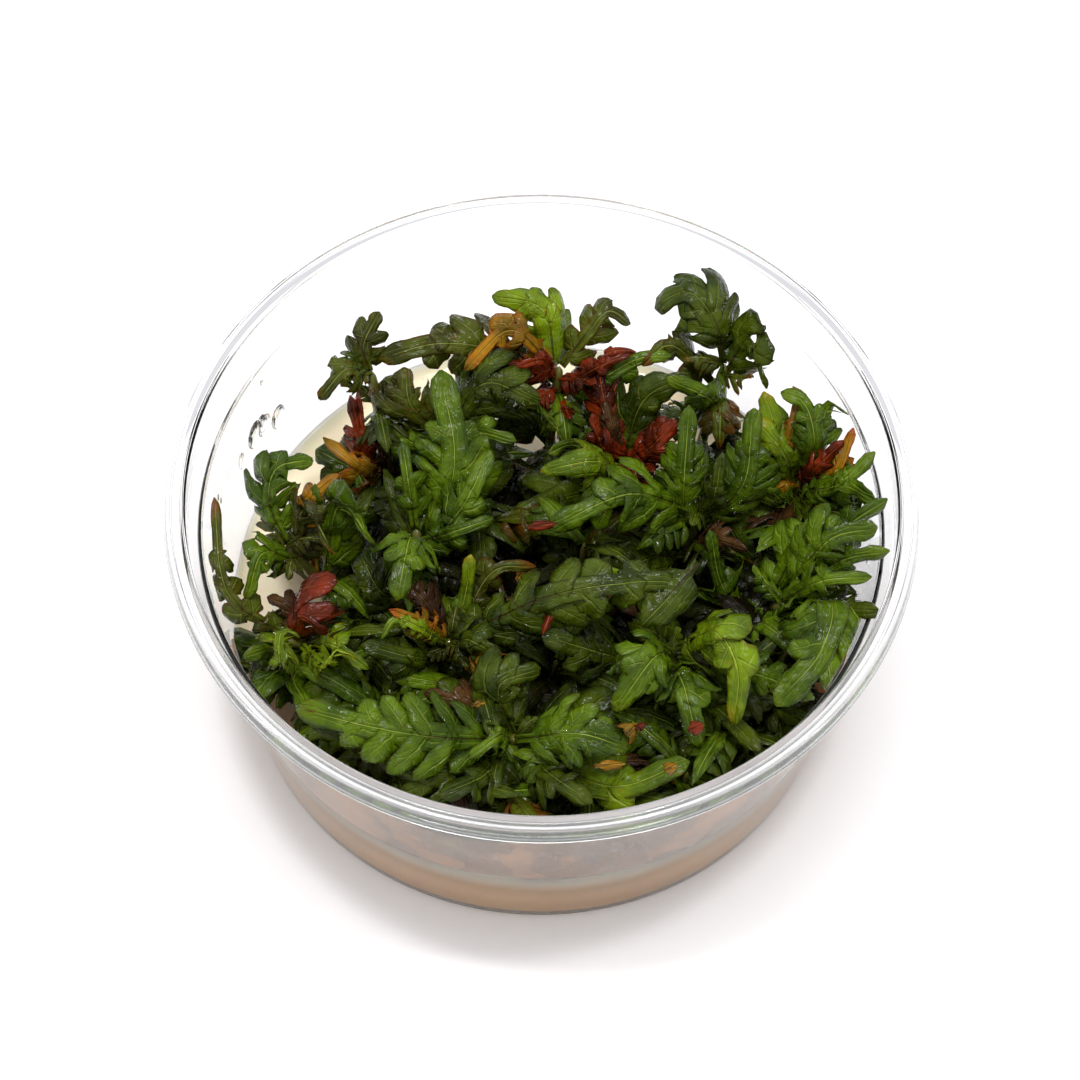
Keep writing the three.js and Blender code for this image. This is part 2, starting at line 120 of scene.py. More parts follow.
class Graph:
    """The node tree of one material."""

    def __init__(self, name: str) -> None:
        """Starts an empty material.

        Args:
            name: The material's name.
        """
        self.material = bpy.data.materials.new(name)
        self.material.use_nodes = True
        self.nodes = self.material.node_tree.nodes
        self.links = self.material.node_tree.links
        self.nodes.clear()

    def node(self, kind: str, settings: dict | None = None, sockets: dict | None = None) -> bpy.types.Node:
        """Adds a node, sets it up and fills its sockets.

        Args:
            kind: Blender's name of the node type.
            settings: Properties of the node, which are set first.
            sockets: What goes in each socket, by its name or number: a value or a plain constant.

        Returns:
            The new node.
        """
        made = self.nodes.new(kind)
        for key, setting in (settings or {}).items():
            setattr(made, key, setting)
        for key, content in (sockets or {}).items():
            if isinstance(content, Value):
                self.links.new(content.socket, made.inputs[key])
            else:
                made.inputs[key].default_value = content
        return made

    def add(
        self, kind: str, settings: dict | None = None, sockets: dict | None = None, out: int | str = 0
    ) -> Value:
        """Adds a node as node() does, and gives one of its outputs as a value."""
        return Value(self, self.node(kind, settings, sockets).outputs[out])

    def mix(self, share: Value | float, first: Value | Colour, second: Value | Colour) -> Value:
        """Mixes two colours: none of the share is all first, and one is all second."""
        return self.add("ShaderNodeMix", {"data_type": "RGBA"}, {0: share, 6: first, 7: second}, 2)

    def noise(self, scale: float, detail: float = 3.0, stretch: Point = (1, 1, 1)) -> Value:
        """Gives cloudy noise from 0 to 1 over the piece's own coordinates.

        Args:
            scale: How many patches fit in a metre.
            detail: How many finer layers it has.
            stretch: How much finer it is along each axis.

        Returns:
            The noise as a value.
        """
        place = self.add("ShaderNodeTexCoord", out="Object")
        moved = self.add("ShaderNodeMapping", sockets={"Vector": place, "Scale": stretch})
        return self.add("ShaderNodeTexNoise", sockets={"Vector": moved, "Scale": scale, "Detail": detail})

    def split(self, vector: bpy.types.NodeSocket) -> list[Value]:
        """Takes a vector apart.

        Args:
            vector: The output that gives the vector.

        Returns:
            Its three numbers.
        """
        parts = self.node("ShaderNodeSeparateXYZ")
        self.links.new(vector, parts.inputs[0])
        return [Value(self, number) for number in parts.outputs]

    def marks(self, layer: str) -> list[Value]:
        """Gives the two numbers that a piece keeps in one of its coordinate layers."""
        return self.split(self.node("ShaderNodeUVMap", {"uv_map": layer}).outputs[0])[:2]

    def bump(self, height: Value, depth: float, strength: float = 1.0) -> Value:
        """Turns a height from 0 to 1 into surface relief of a depth in metres."""
        relief = {"Height": height, "Distance": depth, "Strength": strength}
        return self.add("ShaderNodeBump", sockets=relief)

    def surface(self, sockets: dict) -> bpy.types.Material:
        """Finishes the material with one principled surface.

        Args:
            sockets: What goes in the surface's sockets, by name.

        Returns:
            The finished material.
        """
        shader = self.node("ShaderNodeBsdfPrincipled", sockets=sockets)
        end = self.node("ShaderNodeOutputMaterial")
        self.links.new(shader.outputs[0], end.inputs["Surface"])
        return self.material


@dataclass(frozen=True)
class LeafFinish:
    """A wet leaf: its colours, how glossy it is, and where it has turned brown."""

    name: str
    body: str
    shade: str
    vein: str
    tip: str
    edge: str
    browning: float = 0.25
    roughness: float = 0.07
    drier: float = 0.24
    stalk: str = "40281A"
    relief_depth: float = 0.75 * MM

    def build(self) -> bpy.types.Material:
        """Paints the blade between its veins, and presses the veins into it.

        Returns:
            The leaf's material.
        """
        graph = Graph(self.name)
        body, shade, vein, tip, edge, stalk = (
            paint(code) for code in (self.body, self.shade, self.vein, self.tip, self.edge, self.stalk)
        )
        phase, distance = graph.marks("veins")
        along, side = graph.marks("span")
        aside = abs(side)
        offset = abs(distance)
        wander = graph.noise(420, 2) - 0.5
        midrib = (offset + wander * 0.08).rise(0.15, 0.04) * along.rise(1.02, 0.75)
        lateral = abs(phase.fraction() + wander * 0.12 - 0.5)
        branch = lateral.rise(0.045, 0.01) * aside.rise(0.95, 0.45) * phase.rise(-0.02, 0.02)
        fine = abs((offset * 0.95 - lateral * 3.2 + wander * 0.9).fraction() - 0.5).rise(0.13, 0.03)
        veins = midrib.sum("MAXIMUM", branch * 0.6)
        line = graph.mix((along + wander * 0.3).rise(0.3, 0.62), stalk, vein)
        patches = graph.noise(160, 3)
        blotches = graph.noise(900, 4)
        ground = graph.mix(patches.rise(0.34, 0.66), shade, body)
        ground = graph.mix(fine * aside.rise(1.0, 0.4) * 0.16, ground, vein)
        rimmed = graph.mix((aside + wander * 0.25).rise(0.72, 1.0) * 0.6, ground, edge)
        speckled = graph.mix(blotches.rise(0.62, 0.74) * 0.35, rimmed, tip)
        ends = (aside + wander * 0.5).rise(0.72, 1.0) * 0.5 + along.rise(0.8, 1.0) * 0.9
        worn = (ends * patches.rise(0.4, 0.62)) * self.browning
        browned = graph.mix(worn.rise(0.0, 0.9), speckled, tip)
        colour = graph.mix(branch * 0.3, browned, vein)
        colour = graph.mix(midrib * 0.62, colour, line)
        relief = graph.noise(1100, 3) * 0.3 + graph.noise(620, 2) * 0.55 + graph.noise(330, 2) * 0.7
        relief = relief - veins * 0.5 - fine * 0.12
        return graph.surface(
            {
                "Base Color": colour,
                "Roughness": graph.noise(260, 2).rise(0.4, 0.62) * self.drier + self.roughness,
                "IOR": 1.36,
                "Specular IOR Level": 0.32,
                "Normal": graph.bump(relief, self.relief_depth),
            }
        )


@dataclass(frozen=True)
class StemFinish:
    """A smooth wet stem that goes from one colour at its root to another at its top."""

    name: str = "stem_skin"
    low: str = "4A2418"
    high: str = "5A5A22"

    def build(self) -> bpy.types.Material:
        """Streaks the stem along its length.

        Returns:
            The stem's material.
        """
        graph = Graph(self.name)
        along, _ = graph.marks("span")
        streaks = graph.noise(700, 3, (1, 1, 0.12))
        colour = graph.mix((along + streaks * 0.5).rise(0.45, 1.15), paint(self.low), paint(self.high))
        return graph.surface(
            {
                "Base Color": graph.mix(streaks.rise(0.55, 0.8) * 0.4, colour, paint("1E120C")),
                "Roughness": streaks * 0.3 + 0.2,
                "Coat Weight": 0.3,
                "Coat Roughness": 0.1,
                "Normal": graph.bump(streaks, 0.2 * MM),
            }
        )


@dataclass(frozen=True)
class ClearPlasticFinish:
    """Thin clear moulded plastic."""

    name: str = "clear_plastic"
    clarity: str = "FBFCFD"

    def build(self) -> bpy.types.Material:
        """Makes it see-through, with the faint unevenness of a moulded wall.

        Returns:
            The plastic's material.
        """
        graph = Graph(self.name)
        flow = graph.noise(45, 2, (1, 1, 0.35))
        return graph.surface(
            {
                "Base Color": paint(self.clarity),
                "Roughness": graph.noise(240, 3).rise(0.45, 0.9) * 0.05 + 0.015,
                "IOR": 1.47,
                "Transmission Weight": 1.0,
                "Normal": graph.bump(flow, 0.06 * MM, 0.3),
            }
        )


@dataclass(frozen=True)
class GelFinish:
    """Cloudy beige jelly with a wet, slightly uneven top, painted lighter on its top and darker down its
    side as light and shade.
    """

    name: str = "nutrient_gel"
    # The top colour is painted light and the side colour is painted shade, and they are blended by height
    top: str = "FFEACB"
    side: str = "D6A55A"
    cloud: str = "BC904C"
    speck: str = "8A6A4A"

    def build(self) -> bpy.types.Material:
        """Lets light sink in and clouds the jelly, with a lighter top and a darker side painted in as
        light and shade.

        Returns:
            The gel's material.
        """
        graph = Graph(self.name)
        clouds = graph.noise(70, 4)
        specks = graph.noise(1500, 2)
        height = graph.split(graph.node("ShaderNodeTexCoord").outputs["Object"])[2] + clouds * 0.003
        # Painted light and shade: the lighter top colour above the meniscus, the darker side colour below
        # it
        lit_top_shaded_side = graph.mix(height.rise(0.0125, 0.0165), paint(self.side), paint(self.top))
        low_clouds = clouds.rise(0.5, 0.75) * height.rise(0.016, 0.012) * 0.35
        ground = graph.mix(low_clouds, lit_top_shaded_side, paint(self.cloud))
        return graph.surface(
            {
                "Base Color": graph.mix(specks.rise(0.68, 0.78) * 0.3, ground, paint(self.speck)),
                "Roughness": graph.noise(300, 2) * 0.08 + 0.05,
                "IOR": 1.36,
                "Subsurface Weight": 0.75,
                "Subsurface Radius": (0.9, 0.62, 0.4),
                "Subsurface Scale": 3 * MM,
                "Normal": graph.bump(graph.noise(120, 2), 0.08 * MM, 0.5),
            }
        )


@dataclass(frozen=True)
class SmearFinish:
    """A thin cloudy film of gel."""

    name: str = "gel_smear"
    light: str = "E09C4A"
    dark: str = "9A642A"

    def build(self) -> bpy.types.Material:
        """Covers some of what is behind it, unevenly.

        Returns:
            The film's material.
        """
        graph = Graph(self.name)
        clouds = graph.noise(90, 3)
        return graph.surface(
            {
                "Base Color": graph.mix(clouds.rise(0.4, 0.62), paint(self.dark), paint(self.light)),
                "Roughness": clouds * 0.2 + 0.3,
                "Specular IOR Level": 0.05,
                "Alpha": clouds.rise(0.35, 0.65) * 0.3 + 0.4,
            }
        )


@dataclass(frozen=True)
class WaterFinish:
    """A drop of clear water."""

    name: str = "water_drop"

    def build(self) -> bpy.types.Material:
        """Makes it see-through, with a faint ripple.

        Returns:
            The water's material.
        """
        graph = Graph(self.name)
        return graph.surface(
            {
                "Base Color": paint("FFFFFF"),
                "Roughness": 0.0,
                "IOR": 1.33,
                "Transmission Weight": 1.0,
                "Normal": graph.bump(graph.noise(900, 1), 0.05 * MM, 0.4),
            }
        )


@dataclass(frozen=True)
class RootFinish:
    """Fine pale roots in the gel."""

    name: str = "root_skin"
    light: str = "A9793C"
    dark: str = "6A4A26"

    def build(self) -> bpy.types.Material:
        """Mottles the roots.

        Returns:
            The roots' material.
        """
        graph = Graph(self.name)
        mottle = graph.noise(600, 3)
        return graph.surface(
            {
                "Base Color": graph.mix(mottle.rise(0.35, 0.65), paint(self.dark), paint(self.light)),
                "Roughness": mottle * 0.3 + 0.3,
                "Normal": graph.bump(mottle, 0.1 * MM),
            }
        )


@dataclass(frozen=True)
class FloorFinish:
    """A plain pale floor."""

    name: str = "studio_floor"

    def build(self) -> bpy.types.Material:
        """Makes it matt and nearly white.

        Returns:
            The floor's material.
        """
        graph = Graph(self.name)
        grain = graph.noise(40, 2)
        return graph.surface(
            {
                "Base Color": graph.mix(grain, paint("FAFAFA"), paint("FFFFFF")),
                "Roughness": 0.9,
                "Specular IOR Level": 0.1,
            }
        )


class Tone(Enum):
    """The colourings that the leaves come in."""

    GREEN = LeafFinish("leaf_green", "526A08", "2E4206", "98AC3E", "523E0C", "2C3808", 0.3)
    DEEP = LeafFinish("leaf_deep", "404E08", "1E2A04", "76842E", "3C2808", "1C2006", 0.3)
    LIME = LeafFinish("leaf_lime", "6C840A", "42560A", "A4B23C", "8A540E", "404A08", 0.5)
    OLIVE = LeafFinish("leaf_olive", "464E0A", "2C3008", "8C9444", "6C300A", "2E2008", 0.9)
    RUST = LeafFinish("leaf_rust", "76260A", "2C0C04", "9A4A1E", "2E1006", "3A1406", 0.5)
    AMBER = LeafFinish("leaf_amber", "9A6C0C", "5E480A", "B49038", "86380A", "74340A", 0.9)
    WILTED = LeafFinish("leaf_wilted", "4C3216", "28180C", "6A4C2A", "1C1008", "2A180C", 0.6)
    # A near-black copy of the leaf colours, for low leaves deep in the tuft: painted shade
    SHADED = LeafFinish("leaf_shaded", "1C2206", "100C04", "343414", "160C04", "0C0A04", 0.4)
    STEM = StemFinish()


class Palette:
    """Each tone's material, made once and shared by the pieces."""

    def __init__(self) -> None:
        """Builds the materials of all tones."""
        self.materials = [tone.value.build() for tone in Tone]

    @staticmethod
    def place(tone: Tone) -> int:
        """Gives the number of a tone's material on a dressed mesh."""
        return list(Tone).index(tone)


class Course:
    """A smooth line through chosen points, walked by shares of its length."""

    STEPS = 24
    NEAR = 0.01

    def __init__(self, points: Iterable[Vector | Point]) -> None:
        """Walks the line once and notes how far along each step is.

        Args:
            points: The points that it passes.
        """
        points = [Vector(point) for point in points]
        self.walk = [points[0].copy()]
        for i in range(len(points) - 1):
            before = points[i - 1] if i else 2 * points[0] - points[1]
            last = i + 2 == len(points)
            after = 2 * points[-1] - points[-2] if last else points[i + 2]
            corners = (before, points[i], points[i + 1], after)
            self.walk += [self._bend(corners, step / self.STEPS) for step in range(1, self.STEPS + 1)]
        self.reached = [0.0]
        for start, end in zip(self.walk, self.walk[1:]):
            self.reached.append(self.reached[-1] + (end - start).length)
        self.length = self.reached[-1]

    @staticmethod
    def _bend(corners: Sequence[Vector], share: float) -> Vector:
        """Gives a point between the two middle corners, on a curve that the outer two bend.

        Args:
            corners: Four corners in a row.
            share: How far it is from the second corner to the third.

        Returns:
            The point.
        """
        a, b, c, d = corners
        gap_a, gap_b, gap_c = ((q - p).length ** 0.5 for p, q in ((a, b), (b, c), (c, d)))
        leave = ((b - a) / gap_a - (c - a) / (gap_a + gap_b) + (c - b) / gap_b) * gap_b
        arrive = ((c - b) / gap_b - (d - b) / (gap_b + gap_c) + (d - c) / gap_c) * gap_b
        square = share * share
        cube = square * share
        middle = b * (2 * cube - 3 * square + 1) + c * (3 * square - 2 * cube)
        return middle + leave * (cube - 2 * square + share) + arrive * (cube - square)

    def at(self, share: float) -> Vector:
        """Finds a point of the line.

        Args:
            share: How far along the line it is, from 0 to 1.

        Returns:
            The point.
        """
        goal = min(max(share, 0.0), 1.0) * self.length
        for i in range(1, len(self.reached)):
            if self.reached[i] >= goal or i == len(self.reached) - 1:
                stretch = self.reached[i] - self.reached[i - 1]
                return self.walk[i - 1].lerp(self.walk[i], (goal - self.reached[i - 1]) / stretch)
        return self.walk[-1].copy()

    def heading(self, share: float) -> Vector:
        """Gives the direction of the line at a share of the length."""
        return (self.at(share + self.NEAR) - self.at(share - self.NEAR)).normalized()


@dataclass(frozen=True)
class Leaf:
    """One leaf: where it grows on its stem, where its midrib goes, and its form.

    Lengths are in millimetres. A height is a share of the stem's length from its root.
    """

    name: str
    stem: str
    height: float
    points: tuple[Point, ...]
    width: float
    lobes: int
    tone: Tone
    notch: float = 0.38
    curl: float = 0.5
    rib: Tone | None = None
    facing: Point = (0, -0.45, 0.9)


class Spine:
    """A midrib that carries the leaf's own directions along it without twisting them."""

    def __init__(self, course: Course, facing: Vector, steps: int) -> None:
        """Walks the midrib in equal steps.

        Args:
            course: The midrib.
            facing: Where the middle of the leaf turns its upper face.
            steps: How many steps to walk.
        """
        self.course = course
        self.steps = steps
        self.points = [course.at(i / steps) for i in range(steps + 1)]
        self.ahead = [course.heading(i / steps) for i in range(steps + 1)]
        self.left: list[Vector] = [Vector()] * (steps + 1)
        middle = steps // 2
        self.left[middle] = facing.cross(self.ahead[middle]).normalized()
        for i in [*range(middle + 1, steps + 1), *range(middle - 1, -1, -1)]:
            known = self.left[i - 1] if i > middle else self.left[i + 1]
            self.left[i] = (known - self.ahead[i] * known.dot(self.ahead[i])).normalized()
        self.up = [ahead.cross(left) for ahead, left in zip(self.ahead, self.left)]

    def place(self, along: float, aside: float, height: float) -> Vector:
        """Finds a point beside the midrib.

        Args:
            along: How far along the midrib it is.
            aside: How far to the left of it.
            height: How far above it.

        Returns:
            The point.
        """
        share = along / self.course.length * self.steps
        i = min(max(int(share), 0), self.steps - 1)
        blend = min(max(share - i, 0.0), 1.0)
        point = self.points[i].lerp(self.points[i + 1], blend)
        point += self.ahead[-1] * max(along - self.course.length, 0.0)
        point += self.left[i].lerp(self.left[i + 1], blend) * aside
        return point + self.up[i].lerp(self.up[i + 1], blend) * height


@dataclass(frozen=True)
class Spot:
    """A point of a blade: its distances from the midrib, and its marks for the finish."""

    along: float
    aside: float
    height: float
    count: float
    margin: float


@dataclass(frozen=True)
class Lobe:
    """One finger of a leaf, which leans ahead from the midrib. Lengths are in millimetres."""

    root: float
    reach: float
    half: float
    side: int
    number: int
    lean: float
    lift: float
    tilt: float
    hollow: float
    droop: float
    roundness: float = 3.2
    crenation: float = 0.1
    crenations: float = 14
    sunk_root: float = 0.36
    ruffle: float = 0.3
    ruffles: float = 10

    def spot(self, along: float, across: float) -> Spot:
        """Shapes the finger as a tongue with a round end and with edges that roll down.

        Args:
            along: From 0 at the midrib to 1 at the tip.
            across: From -1 at one edge to 1 at the other.

        Returns:
            The point at that place.
        """
        turn = math.sin(along * math.pi / 2)
        half = self.half * max(1 - turn**self.roundness, 0.015) ** 0.5
        half *= 1 + self.crenation * math.sin(along * self.crenations + self.number * 2 + self.side)
        slant = math.hypot(1, self.lean)
        ahead = self.lean * self.reach * turn**1.25 - self.side * half * across / slant
        aside = self.side * self.reach * turn + self.lean * half * across / slant
        height = 0.08 - self.sunk_root * (1 - turn) ** 3
        height += self.lift * self.reach * turn - self.droop * self.reach * turn**3
        height -= self.tilt * half * self.side * across + self.hollow * half * across**2
        wave = math.sin(along * self.ruffles + self.number * 2.4 + across)
        height += self.ruffle * self.half * across**2 * turn * wave
        count = self.number + 0.5 + 0.45 * across
        return Spot(self.root + ahead, aside, height, count, max(abs(across), turn**2))


@dataclass(frozen=True)
class Strip:
    """The stalk, the web along the midrib and the end lobe of a leaf. Lengths are in millimetres."""

    length: float
    stalk: float
    web: float
    end: float
    stalk_share: float
    tip_share: float
    ripple: float
    outer_web: float = 0.8
    widest: float = 0.45
    groove: float = 0.12
    wave: float = 0.25
    waves: float = 9

    def spot(self, along: float, across: float) -> Spot:
        """Shapes the strip, with a groove over the midrib.

        Args:
            along: From 0 at the root to 1 at the tip.
            across: From -1 at one edge to 1 at the other.

        Returns:
            The point at that place.
        """
        bulk = (along - self.stalk_share) / (1 - self.stalk_share - self.tip_share)
        half = self.stalk
        if bulk > 0:
            full = swell(min(bulk, 1))
            full = full if bulk < self.widest else max(full, self.outer_web)
            half = max(self.stalk, self.web * full * min(bulk * 6, 1))
        tip = 1 - (1 - along) / self.tip_share
        if tip > 0:
            blend = min(tip / 0.35, 1) ** 1.5
            round_end = (0.6 + 0.4 * math.sin(math.pi * min(tip, 0.5))) * max(1 - tip**3, 0.01) ** 0.5
            half += (self.end * round_end - half) * blend
        wave = math.sin(along * self.waves + self.ripple)
        height = -self.groove * (1 - abs(across)) + self.wave * wave * abs(across)
        height -= self.end * 0.5 * max(tip, 0) ** 3
        margin = abs(across) if half > self.stalk * 1.2 else 0.3
        return Spot(along * self.length, half * across, height, -0.5, margin)


def swell(share: float) -> float:
    """Gives how wide a leaf is at a share of its lobed part: widest before the middle."""
    return math.sin(math.pi * (0.2 + 0.7 * share)) ** 0.85


@dataclass
class Blade:
    """Grows the mesh of a lobed leaf from flat grids, in millimetres."""

    cup: "Cup"
    stalk_share: float = 0.13
    tip_share: float = 0.2
    stalk_width: float = 1.1
    end_width: float = 0.4
    breadth: float = 1.12
    lean: float = 0.95
    fill: float = 1.22
    thickness: float = 0.2
    crumple: float = 0.95
    lobe_grid: tuple[int, int] = (8, 6)
    strip_grid: tuple[int, int] = (30, 4)
    spine_steps: int = 36
    rib_radius: float = 0.3
    rib_sides: int = 6
    rib_steps: int = 14
    rib_points: int = 6
    rib_reach: float = 5.2
    clearance: float = 0.4
    lowest: float = 15.4

    def coarser(
        self, lobes: tuple[int, int], strip: tuple[int, int], spine: int, sides: int, steps: int
    ) -> "Blade":
        """Gives a maker of the same leaves with fewer faces: see the fields for what each number is."""
        counts = {"lobe_grid": lobes, "strip_grid": strip, "spine_steps": spine}
        return replace(self, rib_sides=sides, rib_steps=steps, **counts)

    def hold_in(self, point: Vector) -> Vector:
        """Moves a point that would be in the wall or the gel back into the cup's free space.

        Args:
            point: The point, which is changed.

        Returns:
            The same point.
        """
        limit = self.cup.free_radius(point.z) - self.clearance
        reach = math.hypot(point.x, point.y)
        if reach > limit:
            point.x *= limit / reach
            point.y *= limit / reach
        point.z = max(point.z, self.lowest)
        return point

    def panel(
        self, bm: bmesh.types.BMesh, leaf: Leaf, spine: Spine, part: Lobe | Strip, grid: tuple[int, int]
    ) -> None:
        """Adds one grid to the mesh and shapes it as a part of the leaf.

        Args:
            bm: The mesh to add to.
            leaf: The leaf.
            spine: Its midrib.
            part: The part, which says where each point goes.
            grid: How many faces it has along and across.
        """
        veins = marks(bm, "veins")
        span = marks(bm, "span")
        others = len(bm.faces)
        half_width = leaf.width * self.breadth / 2
        top = bmesh.ops.create_grid(bm, x_segments=grid[0], y_segments=grid[1], size=1)["verts"]
        bm.faces.ensure_lookup_table()
        bottom = thickened(bm, bm.faces[others:])
        bmesh.ops.translate(bm, verts=bottom, vec=(0, 0, -self.thickness))
        spots = {}
        for vertex in [*top, *bottom]:
            spot = part.spot((vertex.co.x + 1) / 2, vertex.co.y)
            fall = leaf.curl * half_width * (abs(spot.aside) / half_width) ** 1.8
            ruck = noise.noise(Vector((spot.along * 0.5, spot.aside * 0.6, spine.course.length * 7)))
            height = spot.height - fall + vertex.co.z + ruck * self.crumple * min(abs(spot.aside), 1)
            vertex.co = self.hold_in(spine.place(spot.along, spot.aside, height))
            spots[vertex] = spot
        bm.faces.ensure_lookup_table()
        for face in bm.faces[others:]:
            face.smooth = True
            face.material_index = Palette.place(leaf.tone)
            for loop in face.loops:
                spot = spots[loop.vert]
                loop[veins].uv = (spot.count, spot.aside)
                loop[span].uv = (spot.along / spine.course.length, spot.margin)

    def grow(self, whole: bmesh.types.BMesh, leaf: Leaf, start: Vector, chance: random.Random) -> None:
        """Adds the blade and its midrib to a mesh.

        Args:
            whole: The mesh to add to.
            leaf: The leaf.
            start: Where its midrib starts.
            chance: The source of its small irregularities.
        """
        bm = bmesh.new()
        course = Course([start, *leaf.points])
        spine = Spine(course, Vector(leaf.facing), self.spine_steps)
        half_width = leaf.width * self.breadth / 2
        strip = Strip(
            length=course.length,
            stalk=min(self.stalk_width / 2, half_width * 0.4),
            web=leaf.notch * half_width,
            end=leaf.width * self.end_width / 2,
            stalk_share=self.stalk_share,
            tip_share=self.tip_share,
            ripple=chance.uniform(0, math.tau),
        )
        self.panel(bm, leaf, spine, strip, self.strip_grid)
        spacing = (1 - self.stalk_share - self.tip_share) / max(leaf.lobes, 1)
        for side in (-1, 1):
            for number in range(leaf.lobes):
                lean = self.lean * chance.uniform(0.8, 1.2)
                place = number + 0.1 + (0.12 if side > 0 else -0.12) + chance.uniform(-0.08, 0.08)
                lobe = Lobe(
                    root=(self.stalk_share + place * spacing) * course.length,
                    reach=half_width * swell((number + 0.5) / leaf.lobes) * chance.uniform(0.86, 1.1),
                    half=spacing * course.length * 0.36 * self.fill * chance.uniform(0.88, 1.1),
                    side=side,
                    number=number,
                    lean=lean,
                    lift=chance.uniform(-0.12, 0.3),
                    tilt=chance.uniform(-0.15, 0.45),
                    hollow=chance.uniform(0.15, 0.5),
                    droop=chance.uniform(0.1, 0.5),
                )
                self.panel(bm, leaf, spine, lobe, self.lobe_grid)
        beneath = -self.thickness - self.rib_radius * 0.6
        places = [course.length * i / self.rib_reach for i in range(self.rib_points)]
        lowered = [self.hold_in(spine.place(place, 0, beneath)) for place in places]
        rib = Rod(self.rib_radius, self.rib_radius * 0.3, self.rib_sides, self.rib_steps)
        rib.lay(bm, Course(lowered), Palette.place(leaf.rib or leaf.tone))
        grown = bpy.data.meshes.new("leaf")
        bm.to_mesh(grown)
        bm.free()
        whole.from_mesh(grown)
        bpy.data.meshes.remove(grown)


@dataclass(frozen=True)
class Rod:
    """A round tapering rod that follows a course: a stem, a midrib or a root."""

    foot: float
    head: float
    sides: int = 10
    steps: int = 20
    bulges: float = 0.0
    bulge_pace: float = 34
    dome: float = 0.95
    closer_ends: float = 0.35

    def lay(self, bm: bmesh.types.BMesh, course: Course, material: int) -> None:
        """Adds the rod to a mesh, bent along the course.

        Args:
            bm: The mesh to add to.
            course: The line that it follows, in the mesh's own unit.
            material: The number of its material.
        """
        span = marks(bm, "span")
        others = len(bm.verts)
        bmesh.ops.create_cone(bm, cap_ends=True, segments=self.sides, radius1=1, radius2=1, depth=2)
        bm.verts.ensure_lookup_table()
        edges = {edge for vertex in bm.verts[others:] for edge in vertex.link_edges}
        upright = {edge for edge in edges if edge.verts[0].co.z * edge.verts[1].co.z < 0}
        bmesh.ops.subdivide_edges(bm, edges=list(upright), cuts=self.steps - 1)
        bm.verts.ensure_lookup_table()
        body = bm.verts[others:]
        side = course.heading(0.5).orthogonal()
        shares = {}
        for vertex in body:
            share = (vertex.co.z + 1) / 2
            share = math.sin(share * math.pi / 2) * self.closer_ends + share * (1 - self.closer_ends)
            heading = course.heading(share)
            first = (side - heading * side.dot(heading)).normalized()
            second = heading.cross(first)
            radius = self.foot + (self.head - self.foot) * share
            radius *= 1 + self.bulges * max(math.cos(share * self.bulge_pace), 0) ** 6
            radius *= max(1 - max(share - self.dome, 0) ** 2 / (1 - self.dome) ** 2, 0.02) ** 0.5
            around = first * vertex.co.x + second * vertex.co.y
            shares[vertex] = share
            vertex.co = course.at(share) + around * radius
        for face in {f for v in body for f in v.link_faces}:
            face.material_index = material
            face.smooth = len(face.verts) == 4
            for loop in face.loops:
                loop[span].uv = (shares[loop.vert], 0.5)


@dataclass
class Cup:
    """The clear cup: a tapered tub with a step under its mouth and a turned-down rim, in millimetres."""

    height: float = 44.2
    base_radius: float = 41.6
    shoulder_radius: float = 45.9
    shoulder_height: float = 37.4
    mouth_radius: float = 47.0
    rim_radius: float = 50.0
    skirt_height: float = 2.3
    wall: float = 0.8
    floor: float = 1.2
    corner: float = 1.4
    foot_width: float = 2.6
    foot_depth: float = 0.6
    around: int = 224
    sharp_angle: float = 0.3
    rounding: float = 0.16

    def inner_radius(self, height: float) -> float:
        """Gives the radius of the inner wall at a height below the step."""
        slope = (self.shoulder_radius - self.base_radius) / self.shoulder_height
        return self.base_radius - self.wall + slope * height

    def free_radius(self, height: float) -> float:
        """Gives how far from the axis the free space reaches at a height."""
        return self.inner_radius(height) if height < self.shoulder_height else self.mouth_radius

    def profile(self) -> list[tuple[float, float]]:
        """Gives the corners of the wall's section, from under the floor round to its top.

        Returns:
            Radius and height of each corner.
        """
        lip = self.mouth_radius + self.wall
        skirt = self.height - self.skirt_height
        step = self.shoulder_height + self.wall
        return [
            (AXIS, self.foot_depth),
            (self.base_radius - self.foot_width - self.foot_depth, self.foot_depth),
            (self.base_radius - self.foot_width, 0),
            (self.base_radius - self.wall - 0.1, 0),
            (self.base_radius, self.wall + 0.3),
            (self.shoulder_radius, self.shoulder_height),
            (lip, self.shoulder_height + 0.6),
            (lip, self.height - 0.95),
            (self.rim_radius - 0.75, skirt + 0.35),
            (self.rim_radius - 0.6, skirt),
            (self.rim_radius, skirt),
            (self.rim_radius, skirt + 0.5),
            (self.rim_radius - 0.45, self.height - 0.35),
            (self.rim_radius - 0.95, self.height),
            (self.rim_radius - 1.25, self.height - 0.28),
            (self.rim_radius - 1.55, self.height),
            (self.mouth_radius + 0.35, self.height),
            (self.mouth_radius, self.height - 0.5),
            (self.mouth_radius, step + 0.2),
            (self.inner_radius(step) + 0.3, step),
            (self.inner_radius(step), step - 0.5),
            (self.inner_radius(self.floor + self.corner), self.floor + self.corner),
            (self.inner_radius(self.floor) - self.corner, self.floor),
            (AXIS, self.floor),
        ]

    def build(self, material: bpy.types.Material) -> bpy.types.Object:
        """Turns the section round the axis and rounds its corners.

        Args:
            material: The clear plastic.

        Returns:
            The cup.
        """
        bm = turned(self.profile(), self.around)
        edges = [e for e in bm.edges if len(e.link_faces) == 2 and e.calc_face_angle(0) > self.sharp_angle]
        rounding = {"offset": self.rounding, "segments": 3, "profile": 0.5, "clamp_overlap": True}
        bmesh.ops.bevel(bm, geom=edges, affect="EDGES", material=-1, **rounding)
        return finished("clear_cup", bm, [material], "cup", True)


